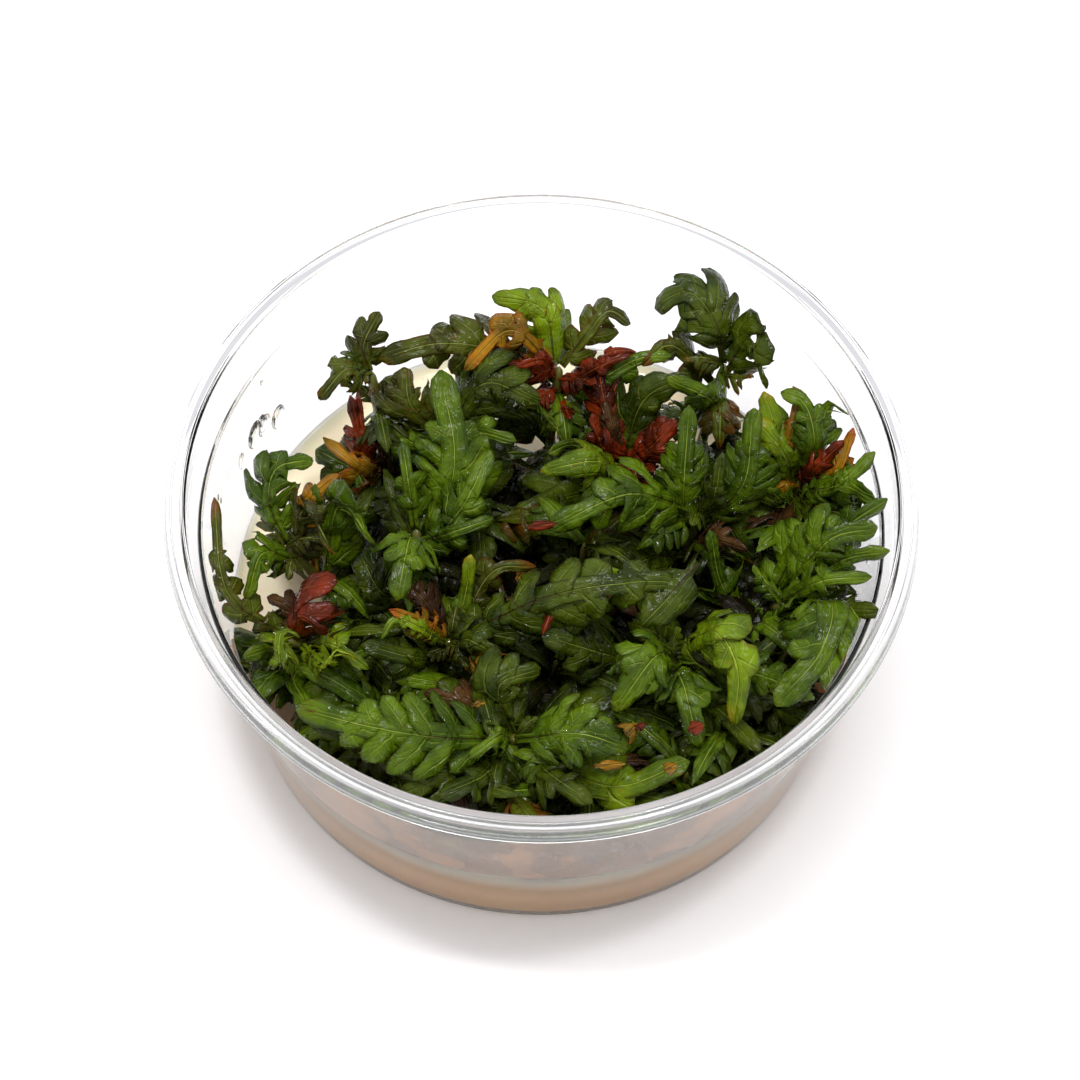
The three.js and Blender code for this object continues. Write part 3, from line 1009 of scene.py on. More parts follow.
@dataclass
class Gel:
    """The block of nutrient gel, with a meniscus that climbs the wall, in millimetres."""

    cup: Cup
    top: float = 15.0
    climb: float = 1.5
    climb_width: float = 2.5
    climb_steps: int = 6
    climb_power: float = 2.5
    flat_radius: float = 20
    soak: float = 0.03
    around: int = 160

    def profile(self) -> list[tuple[float, float]]:
        """Gives the gel's section from under its middle round to its top.

        Returns:
            Radius and height of each corner.
        """
        low = self.cup.floor - self.soak
        edge = self.top + self.climb
        wall = self.cup.inner_radius(edge) + self.soak
        corner = self.cup.corner
        section = [
            (AXIS, low),
            (self.cup.inner_radius(low) - corner, low),
            (self.cup.inner_radius(low + corner) + self.soak, low + corner),
            (wall, edge),
        ]
        for i in range(1, self.climb_steps + 1):
            share = i / self.climb_steps
            drop = self.climb * (1 - (1 - share) ** self.climb_power)
            section.append((wall - self.climb_width * share, edge - drop))
        return section + [(self.flat_radius, self.top), (AXIS, self.top)]

    def build(self, material: bpy.types.Material) -> bpy.types.Object:
        """Turns the section round the axis, in the gel's finish."""
        bm = turned(self.profile(), self.around)
        return finished("nutrient_gel", bm, [material], "gel", True)


@dataclass
class Smear:
    """The film of gel on the inside of the front wall, with a wavy top, in millimetres."""

    cup: Cup
    half_turn: float = 78.0
    low: float = 15.8
    high: float = 31.0
    wave: float = 1.6
    waves: float = 5
    ripples: float = 11
    thickness: float = 0.12
    off_wall: float = 0.05
    grid: tuple[int, int] = (120, 8)

    def build(self, material: bpy.types.Material) -> bpy.types.Object:
        """Bends a flat sheet round the wall.

        Args:
            material: The film's finish.

        Returns:
            The film.
        """
        bm = bmesh.new()
        bmesh.ops.create_grid(bm, x_segments=self.grid[0], y_segments=self.grid[1], size=1)
        sheet = bm.verts[:]
        inner = thickened(bm, bm.faces[:])
        for vertices, depth in ((sheet, 0), (inner, self.thickness)):
            for vertex in vertices:
                share = (vertex.co.y + 1) / 2
                turn = math.radians(self.half_turn) * vertex.co.x
                end = (1 - abs(vertex.co.x) ** 6) ** 0.5 if abs(vertex.co.x) < 1 else 0.0
                wave = math.sin(turn * self.waves) + 0.5 * math.sin(turn * self.ripples + 1)
                top = self.high + self.wave * wave
                height = self.low + (top - self.low) * share * max(end, 0.05)
                reach = self.cup.inner_radius(height) - self.off_wall - depth
                vertex.co = (reach * math.sin(turn), -reach * math.cos(turn), height)
        bmesh.ops.recalc_face_normals(bm, faces=bm.faces[:])
        return finished("gel_smear", bm, [material], None, True)


def turned(section: Sequence[tuple[float, float]], steps: int) -> bmesh.types.BMesh:
    """Turns a section round the axis into a closed form.

    Args:
        section: Radius and height of its corners, from the axis round to the axis.
        steps: How many steps it takes to turn.

    Returns:
        The form, with its faces outward.
    """
    bm = bmesh.new()
    corners = [bm.verts.new((radius, 0, height)) for radius, height in section]
    for start, end in zip(corners, corners[1:]):
        bm.edges.new((start, end))
    around = {"cent": (0, 0, 0), "axis": (0, 0, 1), "angle": math.tau, "use_merge": True}
    bmesh.ops.spin(bm, geom=bm.verts[:] + bm.edges[:], steps=steps, **around)
    bmesh.ops.remove_doubles(bm, verts=bm.verts[:], dist=WELD)
    bmesh.ops.recalc_face_normals(bm, faces=bm.faces[:])
    return bm


def placed(name: str, data: bpy.types.ID) -> bpy.types.Object:
    """Puts an object in the scene.

    Args:
        name: Its name.
        data: Its mesh, lamp or camera.

    Returns:
        The object.
    """
    item = bpy.data.objects.new(name, data)
    bpy.context.scene.collection.objects.link(item)
    return item


def marks(bm: bmesh.types.BMesh, layer: str) -> bmesh.types.BMLayerItem:
    """Gives a coordinate layer of a mesh, which is made if it isn't there yet."""
    return bm.loops.layers.uv.get(layer) or bm.loops.layers.uv.new(layer)


def thickened(bm: bmesh.types.BMesh, sheet: list[bmesh.types.BMFace]) -> list[bmesh.types.BMVert]:
    """Turns a sheet into a closed slab, and gives the corners of its new side."""
    slab = bmesh.ops.extrude_face_region(bm, geom=sheet, use_keep_orig=True)["geom"]
    return [part for part in slab if isinstance(part, bmesh.types.BMVert)]


def finished(
    name: str,
    bm: bmesh.types.BMesh,
    materials: Iterable[bpy.types.Material],
    node: str | None,
    smooth: bool = False,
) -> bpy.types.Object:
    """Turns a mesh into a piece in metres that rides on the one body.

    Args:
        name: The piece's name.
        bm: Its mesh in millimetres, which is freed.
        materials: Its materials, in the order of their numbers.
        node: The construction's piece that it stands for, if any.
        smooth: Whether all of its faces are shaded smooth.

    Returns:
        The piece.
    """
    for face in bm.faces:
        face.smooth = face.smooth or smooth
    bm.transform(Matrix.Scale(MM, 4))
    mesh = bpy.data.meshes.new(name)
    bm.to_mesh(mesh)
    bm.free()
    for material in materials:
        mesh.materials.append(material)
    piece = placed(name, mesh)
    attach(piece, "root")
    if node:
        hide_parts(node)
    log.info("%s: %d faces", name, len(mesh.polygons))
    return piece


@dataclass
class WallDrops:
    """Drops of water that cling to the inside of the wall, in millimetres.

    A patch is its bearing from the front in degrees, its height, its half spread in degrees, its
    half height, its number of drops and the size of its largest.
    """

    cup: Cup
    patches: tuple[tuple[float, float, float, float, int, float], ...] = (
        (-25, 28.5, 4, 2.2, 16, 0.4),
        (-8, 22, 7, 5, 34, 0.45),
        (10, 25.5, 8, 4, 32, 0.45),
        (23, 24, 7, 5, 18, 0.45),
        (-41, 27, 7, 5, 20, 0.5),
        (39, 27, 7, 5, 18, 0.5),
        (-16, 18, 11, 2, 14, 0.35),
        (16, 19, 12, 2, 14, 0.35),
        (-92, 32, 6, 5, 7, 2.2),
        (-116, 30, 8, 4, 7, 2.0),
        (-119, 36, 1.5, 0.6, 2, 0.6),
        (88, 33, 6, 4, 10, 0.8),
    )
    smallest: float = 0.16
    small_share: float = 2.2
    flatness: float = 0.42
    film: float = 0.26
    tallness: tuple[float, float] = (1.0, 1.9)
    off_wall: float = 0.02
    around: int = 10
    rings: int = 6
    seed: int = 5

    def build(self, material: bpy.types.Material) -> bpy.types.Object:
        """Sets the drops against the wall.

        Args:
            material: The water.

        Returns:
            The drops, as one piece.
        """
        chance = random.Random(self.seed)
        bm = bmesh.new()
        for bearing, height, spread, half_height, number, largest in self.patches:
            for _ in range(number):
                turn = math.radians(bearing + chance.gauss(0, spread / 2))
                level = height + chance.gauss(0, half_height / 2)
                size = self.smallest + (largest - self.smallest) * chance.random() ** self.small_share
                depth = min(size * self.flatness, self.film)
                reach = self.cup.inner_radius(level) - depth - self.off_wall
                shape = Matrix.Diagonal((size, depth, size * chance.uniform(*self.tallness), 1))
                place = Matrix.Translation((reach * math.sin(turn), -reach * math.cos(turn), level))
                pose = place @ Matrix.Rotation(turn, 4, "Z") @ shape
                bmesh.ops.create_uvsphere(
                    bm, u_segments=self.around, v_segments=self.rings, radius=1, matrix=pose
                )
        return finished("wall_drops", bm, [material], None, True)


@dataclass
class Roots:
    """Fine roots that show in the gel behind the front wall, in millimetres."""

    cup: Cup
    radius: float = 0.16
    behind_wall: float = 0.8
    runs: tuple[tuple[tuple[float, float], ...], ...] = (
        ((3.4, 5.2), (4.4, 8.4), (8.3, 10.4), (12.3, 9.6), (16, 7.2)),
        ((-9, 11), (-12, 8.5), (-16, 7.6)),
        ((12.3, 9.6), (10.5, 7), (13, 5)),
        ((-24, 10), (-20, 8), (-19, 5)),
        ((24, 11), (21, 8.6), (23, 6)),
    )

    def build(self, material: bpy.types.Material) -> bpy.types.Object:
        """Lays the roots just inside the gel.

        Args:
            material: The roots' finish.

        Returns:
            The roots, as one piece.
        """
        bm = bmesh.new()
        for run in self.runs:
            points = []
            for across, height in run:
                reach = self.cup.inner_radius(height) - self.behind_wall
                points.append((across, -math.sqrt(reach**2 - across**2), height))
            Rod(self.radius, self.radius * 0.6, sides=6, steps=18).lay(bm, Course(points), 0)
        return finished("gel_roots", bm, [material], None)


STEMS: dict[str, tuple[Point, ...]] = {
    "back_left": ((-20, 11, 9), (-22, 17, 25), (-24, 23.5, 37)),
    "left": ((-26, -2, 9), (-30, -3, 24), (-34.5, -2.5, 33)),
    "left_front": ((-24, -9, 9), (-29, -13, 23), (-33.5, -15.5, 30)),
    "mid_left": ((-17, -4, 9), (-17.5, -1, 20), (-17, 3, 29)),
    "mid_back": ((-13, 10, 9), (-14, 14, 22), (-14, 17, 32)),
    "centre": ((-10, -9, 9), (-11.5, -12, 20), (-12, -14.5, 29)),
    "front": ((-2, -19, 9), (-2.5, -24, 20), (-3, -29.5, 30)),
    "back": ((1, 20, 9), (1, 23, 24), (2, 25.5, 36)),
    "red": ((9, 12, 9), (10, 14, 20), (11.5, 16, 28)),
    "back_right": ((21, 20, 9), (23, 24, 24), (25, 26.5, 36)),
    "mid_right": ((19, 4, 9), (20.5, 6, 20), (22, 9, 29)),
    "right": ((30, 9, 9), (33, 11, 20), (36, 12.5, 29)),
    "right_front": ((27, -4, 9), (29, -5, 20), (33, -7.5, 29)),
    "front_right": ((14, -9, 9), (16, -12, 20), (18, -15.5, 29)),
}

GREEN, DEEP, LIME, OLIVE, RUST, AMBER, WILTED, SHADED = (t for t in Tone if t is not Tone.STEM)

LOW_TONES = {DEEP: 0.54, GREEN: 0.28, OLIVE: 0.12, WILTED: 0.06}

LEAVES = [
    Leaf(
        "centre_long", "centre", 1, ((0.8, -14, 40.5), (9, -13, 42.5), (17.8, -12, 41), (14.3, -15.5, 37)),
        8, 5, DEEP,
    ),
    Leaf("upright_left", "mid_left", 0.6, ((-12, 9, 36), (-14.3, 19.8, 43)), 11, 5, GREEN, 0.38, 0.15),
    Leaf(
        "back_right_arch", "back_right", 1, ((23.4, 28.4, 43), (19.6, 32.2, 45), (14.4, 32, 42)),
        9.5, 4, DEEP,
    ),
    Leaf("arch_left", "back", 0.9, ((-8, 25, 41), (-15.3, 24, 43), (-22.9, 22.7, 41)), 8.5, 4, OLIVE),
    Leaf("upright_right_a", "mid_right", 0.55, ((19.3, 8, 34), (19.6, 14.6, 43)), 7, 5, GREEN),
    Leaf("upright_right_b", "mid_right", 0.75, ((27.3, 7.6, 35), (28, 13.6, 44)), 7.5, 5, GREEN),
    Leaf(
        "right_edge", "right_front", 0.9, ((38.5, -12.5, 38), (36.8, -19.5, 37.5), (31, -26, 35)),
        11, 5, GREEN, 0.36, 0.15,
    ),
    Leaf("right_top", "right_front", 1, ((38.5, -4.5, 41.5), (44.6, -3.2, 42)), 8, 4, GREEN),
    Leaf("right_fold", "right_front", 0.95, ((37.5, -10.4, 40.5), (43.4, -10.4, 41.5)), 5, 3, GREEN),
    Leaf(
        "front_left_long", "front", 0.95, ((-13, -32.5, 36), (-22.3, -31.5, 37), (-31.5, -28.5, 36)),
        10, 5, GREEN, 0.34, 0.3, RUST,
    ),
    Leaf("front_bright", "front", 1, ((5.9, -32.6, 38), (12.1, -33.6, 36)), 8.6, 4, GREEN, 0.55, 0.2),
    Leaf("front_low_left", "front", 0.7, ((-12.3, -34.8, 30), (-20.4, -33.1, 32)), 10, 4, DEEP),
    Leaf("front_low_right", "front", 0.8, ((10, -36.5, 31), (19.5, -34.5, 35)), 8.4, 3, LIME, 0.42),
    Leaf(
        "left_arch", "left", 1, ((-36.5, 1, 39), (-35.5, 3.6, 42.5), (-30.6, 6.8, 40.5)),
        6.4, 4, GREEN, 0.3,
    ),
    Leaf("left_wall", "left_front", 0.9, ((-41.2, -11.5, 35), (-43.6, 0, 41)), 4, 4, OLIVE),
    Leaf(
        "front_right_arch", "front_right", 0.95, ((23.1, -19.5, 42), (25.7, -23.4, 40), (25.5, -29, 34)),
        6.8, 4, LIME, 0.5,
    ),
    Leaf("front_right_bow", "front_right", 1, ((14.8, -22, 39), (10, -28, 35.5)), 8, 4, GREEN, 0.55, 0.15),
    Leaf("front_right_wet", "front_right", 0.8, ((19, -24.5, 36.5), (21, -31.5, 33)), 8, 4, GREEN, 0.4),
    Leaf("back_lime", "back", 0.9, ((-0.6, 30.9, 42), (-7.7, 33, 42)), 6.6, 4, LIME, 0.6),
    Leaf(
        "back_strap", "back", 1, ((5.8, 28.2, 40.5), (8.6, 30.2, 43), (12, 29.9, 40.5)),
        5, 3, OLIVE, 0.35,
    ),
    Leaf("red_broad", "red", 0.8, ((14, 19.7, 37.5), (20, 21.8, 40)), 7, 3, DEEP, 0.75),
    Leaf("olive_toothed", "red", 0.9, ((6, 7.5, 40), (-0.5, 7, 38)), 6, 4, LIME, 0.7),
    Leaf("red_right", "red", 1, ((15.2, 13.8, 35), (17.6, 15.5, 38.5)), 6, 3, RUST),
    Leaf("back_right_side", "back_right", 0.92, ((27.8, 26, 42.5), (29.6, 20, 39.5)), 6.2, 3, DEEP),
    Leaf("back_right_green", "back_right", 0.6, ((22.8, 20, 37), (17, 19.4, 42)), 7, 3, GREEN),
    Leaf("right_straps", "right", 0.9, ((33, 12, 35.5), (29, 15.5, 39)), 9, 3, LIME, 0.3),
    Leaf(
        "right_back", "right", 1, ((36.8, 12.8, 38.5), (35, 16.3, 42.5), (31.9, 17.8, 42.5)),
        6, 4, GREEN, 0.35,
    ),
    Leaf("right_lobed", "right", 0.7, ((40.5, 6.5, 37), (43.8, 2, 40.5)), 7, 3, GREEN),
    Leaf("right_inner", "right_front", 0.75, ((35.4, -1.5, 37), (38.5, 2.4, 39)), 7, 3, GREEN),
    Leaf("right_low", "right_front", 0.6, ((31, -12.5, 31), (36.5, -17.5, 31)), 7, 3, GREEN),
    Leaf("front_right_low", "front_right", 0.85, ((27.5, -19.5, 30), (34, -21.5, 31)), 7, 3, LIME),
    Leaf("centre_dark", "front_right", 0.5, ((9, -16.5, 30), (1, -17.5, 36.5)), 9, 4, DEEP),
    Leaf("centre_right", "mid_right", 0.9, ((11, 3, 39), (1, -2, 38)), 9, 4, GREEN, 0.32),
    Leaf("centre_left_low", "centre", 0.6, ((-17.3, -18.5, 32), (-23, -18.5, 35)), 7, 3, DEEP),
    Leaf("front_inner", "front", 0.9, ((-5, -24, 34.5), (0.5, -21.5, 35)), 7, 3, DEEP),
    Leaf("left_red", "left_front", 0.97, ((-31.4, -15.2, 35.5), (-28.2, -17, 34)), 6.6, 3, RUST, 0.3, 1.3),
    Leaf("left_low", "left_front", 0.7, ((-35.6, -17.5, 31), (-38.4, -19.4, 32.5)), 6, 3, GREEN),
    Leaf("left_broad", "left", 0.6, ((-27, 1.5, 37), (-22.6, -4.2, 34.5)), 8, 3, GREEN, 0.35),
    Leaf("left_hanging", "left", 0.85, ((-37, -7, 38), (-38.8, -11.8, 34)), 5, 3, GREEN),
    Leaf("mid_left_down", "mid_left", 0.9, ((-17.6, -4, 37.5), (-18.8, -12, 36)), 8.4, 4, GREEN),
    Leaf("mid_left_right", "mid_left", 0.8, ((-10.4, 3, 36), (-7.2, 9, 40)), 7, 3, GREEN),
    Leaf("mid_back_wet", "mid_back", 0.95, ((-8, 19.5, 40.5), (-0.5, 17.5, 39)), 8.4, 4, DEEP),
    Leaf("mid_back_olive", "mid_back", 1, ((-18.3, 17.5, 38), (-19, 21, 41.5)), 7, 3, OLIVE),
    Leaf("back_left_up", "back_left", 1, ((-25, 25, 40.5), (-22.9, 28.4, 44)), 5.4, 2, OLIVE),
]

LEAFLETS: dict[str, list[tuple]] = {
    "back_left": [
        (0.96, ((-27, 21, 41), (-31, 18.4, 37)), 5, 2, OLIVE),
        (0.75, ((-22, 19, 36), (-22, 19.7, 40)), 3.6, 1, OLIVE),
        (0.45, ((-26, 9.5, 36), (-30, 12.5, 37)), 4.6, 2, AMBER),
        (0.35, ((-24.4, 13.4, 32), (-25.5, 18.5, 39)), 3, 3, RUST),
        (0.4, ((-26.5, 15, 25), (-32, 17.5, 26)), 9, 2, DEEP),
        (0.35, ((-18, 21, 24), (-11.5, 24, 25)), 8, 2, DEEP),
    ],
    "back": [
        (0.97, ((-5, 25.5, 44.6), (-11, 21, 41)), 5, 3, AMBER),
        (0.94, ((-0.5, 23, 41), (-3.5, 20.5, 43)), 3, 3, RUST),
        (0.85, ((8, 24, 39), (12, 25.5, 40)), 3.2, 3, RUST),
        (0.7, ((-0.4, 18.8, 36), (2.4, 14.2, 37.5)), 5.4, 2, GREEN),
        (0.45, ((-3.5, 24, 26), (-9, 24, 28)), 8, 2, DEEP),
        (0.35, ((5.5, 24, 24), (12, 23.5, 26)), 9, 2, DEEP),
    ],
    "red": [
        (1, ((8, 14, 34), (7, 15.6, 39)), 4, 3, RUST),
        (0.7, ((4, 14, 34), (1, 12, 34.5)), 5, 2, GREEN),
        (0.8, ((6.8, 12, 34.5), (4.5, 10.6, 36)), 4, 2, OLIVE),
        (0.6, ((4, 10, 27), (-3.5, 5, 28)), 12, 2, DEEP),
    ],
    "back_right": [
        (0.85, ((17, 27.5, 39), (13.6, 24.5, 38)), 5, 2, OLIVE),
        (0.4, ((27.5, 20, 25), (32.5, 17, 26)), 9, 2, DEEP),
    ],
    "mid_right": [
        (0.8, ((23.4, 6, 34), (24, 9, 40)), 4.4, 2, DEEP),
        (0.5, ((15, 1.5, 25), (8, -3, 26)), 12, 2, DEEP),
        (0.4, ((25, 8, 24), (28.5, 1.5, 25)), 10, 2, DEEP),
    ],
    "right": [
        (1, ((40, 9.5, 36), (41.6, 13.5, 40.5)), 4, 2, AMBER),
        (0.6, ((32.6, 7, 32), (31, 5, 37)), 5, 2, GREEN),
        (0.8, ((38.5, 5.5, 31), (40.5, -1, 33)), 7, 2, DEEP),
    ],
    "right_front": [
        (0.7, ((34.5, -10, 29), (39, -14.5, 30)), 8, 2, DEEP),
        (0.5, ((24.5, -4, 28.5), (22.8, -1.5, 37)), 5, 1, GREEN),
        (0.4, ((34, -1.5, 25), (38.5, 4.5, 26)), 11, 2, DEEP),
    ],
    "front_right": [
        (0.6, ((22.5, -22, 27), (26.5, -28, 29)), 10, 2, DEEP),
        (0.4, ((9, -16, 24), (4.5, -22.5, 25)), 11, 2, DEEP),
        (0.9, ((11.5, -8.5, 36), (6, -6.8, 36.5)), 4.6, 2, LIME),
    ],
    "centre": [
        (0.8, ((-9.8, -8.5, 33), (-9.4, -6.8, 38)), 5, 1, LIME),
        (0.7, ((-6, -7, 35.5), (-0.5, -6.2, 35)), 4.6, 3, OLIVE),
        (0.95, ((-9, -17, 34), (-5, -19, 33)), 6, 2, DEEP),
        (0.9, ((-15.5, -15.6, 36), (-19.5, -15.6, 39)), 3.6, 3, AMBER),
        (0.4, ((-5, -12, 25), (3, -8.5, 26)), 11, 2, DEEP),
    ],
    "left_front": [
        (1, ((-34, -20, 37), (-31, -21.5, 35.5)), 4.4, 2, LIME),
        (0.8, ((-26.5, -19.5, 36), (-22.3, -22.3, 35)), 4.6, 3, LIME),
        (0.6, ((-32.4, -20.5, 29), (-29.5, -26.5, 31)), 9, 2, GREEN),
        (0.5, ((-23.5, -14.5, 26), (-18.5, -21, 27)), 12, 2, DEEP),
    ],
    "left": [
        (0.9, ((-31.5, -1, 40), (-28, -6, 36.5)), 4.6, 3, OLIVE),
        (0.4, ((-31, 4.5, 24), (-32.5, 12, 25)), 11, 2, DEEP),
    ],
    "mid_left": [
        (1, ((-18, 5.4, 36), (-19, 10, 40)), 4.6, 2, GREEN),
        (0.9, ((-11, 0, 34), (-6.5, 1.4, 35)), 4.6, 2, GREEN),
        (0.5, ((-21.5, -4.5, 24), (-25.5, 2.5, 25)), 11, 2, DEEP),
    ],
    "mid_back": [
        (0.9, ((-18.3, 13.6, 34.5), (-22, 16, 36)), 5, 2, GREEN),
        (0.8, ((-9, 14.6, 35.5), (-4, 12.6, 36.5)), 5, 3, GREEN),
        (0.5, ((-9.5, 8.5, 25), (-8, 0, 26)), 12, 2, DEEP),
    ],
    "front": [
        (0.92, ((-5, -31.5, 34.5), (-8.5, -34.5, 34)), 4, 2, GREEN),
        (0.5, ((-9.5, -24.5, 26), (-17.5, -25, 27)), 11, 2, DEEP),
        (0.6, ((4.5, -25.5, 27), (12, -26, 28)), 11, 2, DEEP),
    ],
}


CROWNS: dict[str, tuple[Tone, int, float, float]] = {
    "back_left": (OLIVE, 3, 5.5, 2.6),
    "left": (OLIVE, 5, 7, 3),
    "left_front": (OLIVE, 4, 6, 2.6),
    "mid_left": (DEEP, 4, 6, 3),
    "mid_back": (DEEP, 4, 6.5, 3.2),
    "centre": (OLIVE, 4, 6, 2.8),
    "front": (DEEP, 3, 5, 2.6),
    "back": (RUST, 8, 7.5, 3),
    "red": (RUST, 12, 9, 3.6),
    "back_right": (OLIVE, 4, 7, 3.2),
    "mid_right": (DEEP, 4, 6.5, 3),
    "right": (AMBER, 5, 6.5, 2.8),
    "right_front": (GREEN, 5, 7, 3),
    "front_right": (LIME, 4, 6, 2.8),
}

SPRIGS: dict[str, list[tuple]] = {
    "red": [
        (1, ((9.5, 17.5, 33), (8, 21.5, 36), (7.3, 25, 38.6)), 5, 6, RUST, 0.3, 1.2),
        (1, ((10.6, 18, 32), (9.6, 22, 35), (10.8, 24.4, 37)), 4.6, 5, RUST, 0.3, 1.4),
        (0.9, ((13.8, 16, 31), (16.6, 18.4, 34.6)), 5.4, 5, RUST, 0.3, 1.3),
        (0.85, ((8.4, 14, 30), (6.4, 15.6, 34)), 5, 4, RUST, 0.3, 1.3),
        (1, ((9.4, 17.6, 34), (8.4, 19.8, 36.2)), 4.4, 4, WILTED, 0.4, 1.5),
    ],
    "back": [
        (0.9, ((7.3, 24.3, 37.6), (9.3, 26, 39.4), (12.6, 26.4, 39)), 2.8, 5, RUST, 0.35, 0.8),
        (0.8, ((8, 23.8, 36), (13, 25.6, 38.4), (17.4, 25.8, 39)), 5.2, 3, GREEN, 0.4),
        (0.95, ((-1.5, 23.4, 38.6), (-5.4, 22.6, 41)), 3.8, 5, RUST, 0.35, 0.9),
    ],
    "back_left": [
        (0.4, ((-24.8, 14, 33), (-26.2, 17.2, 39.6)), 4.6, 5, RUST, 0.3, 1.1),
        (1, ((-26, 22.4, 40.4), (-29.4, 20.6, 39.4)), 4.4, 3, DEEP),
    ],
    "left": [
        (0.7, ((-31.5, 2.5, 35.5), (-27.5, 6.2, 37.5)), 4.8, 5, AMBER, 0.4, 0.8),
    ],
    "right": [
        (0.9, ((37.4, 10.4, 35.6), (40.4, 11.8, 39.6)), 4.6, 4, RUST, 0.4, 1.0),
        (0.9, ((40.2, 6.6, 37.4), (44.2, 9.4, 41.4)), 5.4, 4, GREEN),
        (0.85, ((32, 14.4, 36.5), (30, 18.6, 41)), 6.4, 4, LIME, 0.8),
        (0.9, ((34.2, 14, 37.5), (35.2, 17.6, 41.6), (33.8, 19.6, 41.8)), 3.6, 3, AMBER, 0.8),
        (0.95, ((37.4, 13.4, 38), (38.6, 16.2, 42), (40.6, 14, 42)), 5.2, 4, GREEN),
    ],
    "mid_right": [
        (0.5, ((24, 1.5, 30), (27.5, -1.2, 32)), 5, 5, WILTED, 0.35, 0.8),
    ],
    "centre": [
        (0.85, ((-15.6, -9.5, 31.6), (-19.4, -7.2, 33.4)), 4.8, 5, WILTED, 0.35, 0.9),
        (0.95, ((-16, -16.5, 36.5), (-18.8, -16.2, 38), (-20.6, -18.6, 36.5)), 2.6, 5, LIME, 0.5),
        (0.9, ((-6, -20.5, 33.5), (-2.6, -23.4, 33.8)), 4.4, 4, AMBER, 0.4, 0.8),
    ],
    "left_front": [
        (1, ((-33.6, -22.6, 37.5), (-33.4, -19.4, 39.4), (-31.4, -20.2, 38.6)), 2.8, 4, LIME, 0.5),
        (0.9, ((-27.6, -22.4, 36.5), (-26.6, -20.6, 37.6), (-23.6, -21.2, 37)), 2.8, 4, LIME, 0.5),
        (0.9, ((-33.5, -12.4, 33.5), (-36.4, -11.2, 34)), 4.4, 3, WILTED, 0.4, 1.0),
    ],
    "front": [
        (0.85, ((-10, -25.5, 32.5), (-15, -24.5, 33)), 5.5, 4, WILTED, 0.35, 0.8),
        (0.8, ((-24, -31, 33.5), (-30, -29.6, 35)), 7, 4, DEEP),
        (0.7, ((2, -35, 31), (7, -39.5, 33)), 7.5, 4, DEEP),
        (0.7, ((-7, -35.5, 31), (-12, -39, 33)), 7.5, 4, DEEP),
    ],
    "right_front": [
        (0.9, ((40.4, -6, 38.6), (45.6, -6.6, 41.6)), 6, 4, GREEN),
        (1, ((40.4, -1, 38), (45.8, 1.4, 41.8)), 6, 4, GREEN),
        (0.85, ((40.6, -13, 37.4), (44, -14.8, 40.6)), 6.4, 4, DEEP),
    ],
    "front_right": [
        (0.7, ((25, -26, 31), (28.5, -31.5, 33.5)), 7, 4, DEEP),
        (0.8, ((30, -21, 33), (35.6, -25, 35)), 7, 4, GREEN),
    ],
}

WET = {
    "upright_right_a", "upright_right_b", "upright_left", "centre_long",
    "centre_dark", "front_right_wet", "front_bright", "front_low_left",
    "mid_back_wet", "mid_left_down", "right_edge", "right_top",
}

SCRAPS: list[tuple] = [
    (((18.4, -11.8, 41.5), (16.2, -14.4, 40.6), (13.2, -17, 38.8)), 6, DEEP, 0.9, 0.5),
    (((12.4, -32.6, 40.2), (13.2, -31.6, 39.6)), 2.6, AMBER, 1.0, 1.5),
    (((13.4, -32.4, 40.4), (13.9, -31.8, 40.1)), 1.2, RUST, 1.0, 1.2),
    (((17.4, -37.3, 38.6), (18.2, -36.7, 38.2)), 1.5, AMBER, 1.0, 0.6),
    (((20.6, -31.6, 38.8), (21.6, -31, 38.4)), 1.7, RUST, 1.0, 0.7),
    (((0.2, -2.4, 39.6), (2.2, -1.8, 39.2)), 1.3, RUST, 1.0, 0.8),
    (((-2.4, -5.6, 33.4), (-1.8, -4, 33)), 1.0, AMBER, 1.0, 0.5),
    (((9.6, -36.6, 37.4), (11.6, -36.2, 37)), 1.2, AMBER, 1.0, 0.9),
    (((-7.4, -28.2, 37.4), (-6.6, -27.8, 37)), 0.8, AMBER, 1.0, 0.5),
    (((1.4, -15.4, 38.4), (0.4, -18, 37.6)), 1.1, RUST, 1.0, 0.9),
    (((-10.5, -41, 22.5), (-5.8, -42, 21.5)), 2.4, LIME, 1.0, 0.3, None, (0, -1, 0.3)),
    (((-22, -37.2, 27), (-19.6, -38.6, 24.6)), 2.2, WILTED, 1.0, 0.3, None, (-0.4, -1, 0.2)),
]


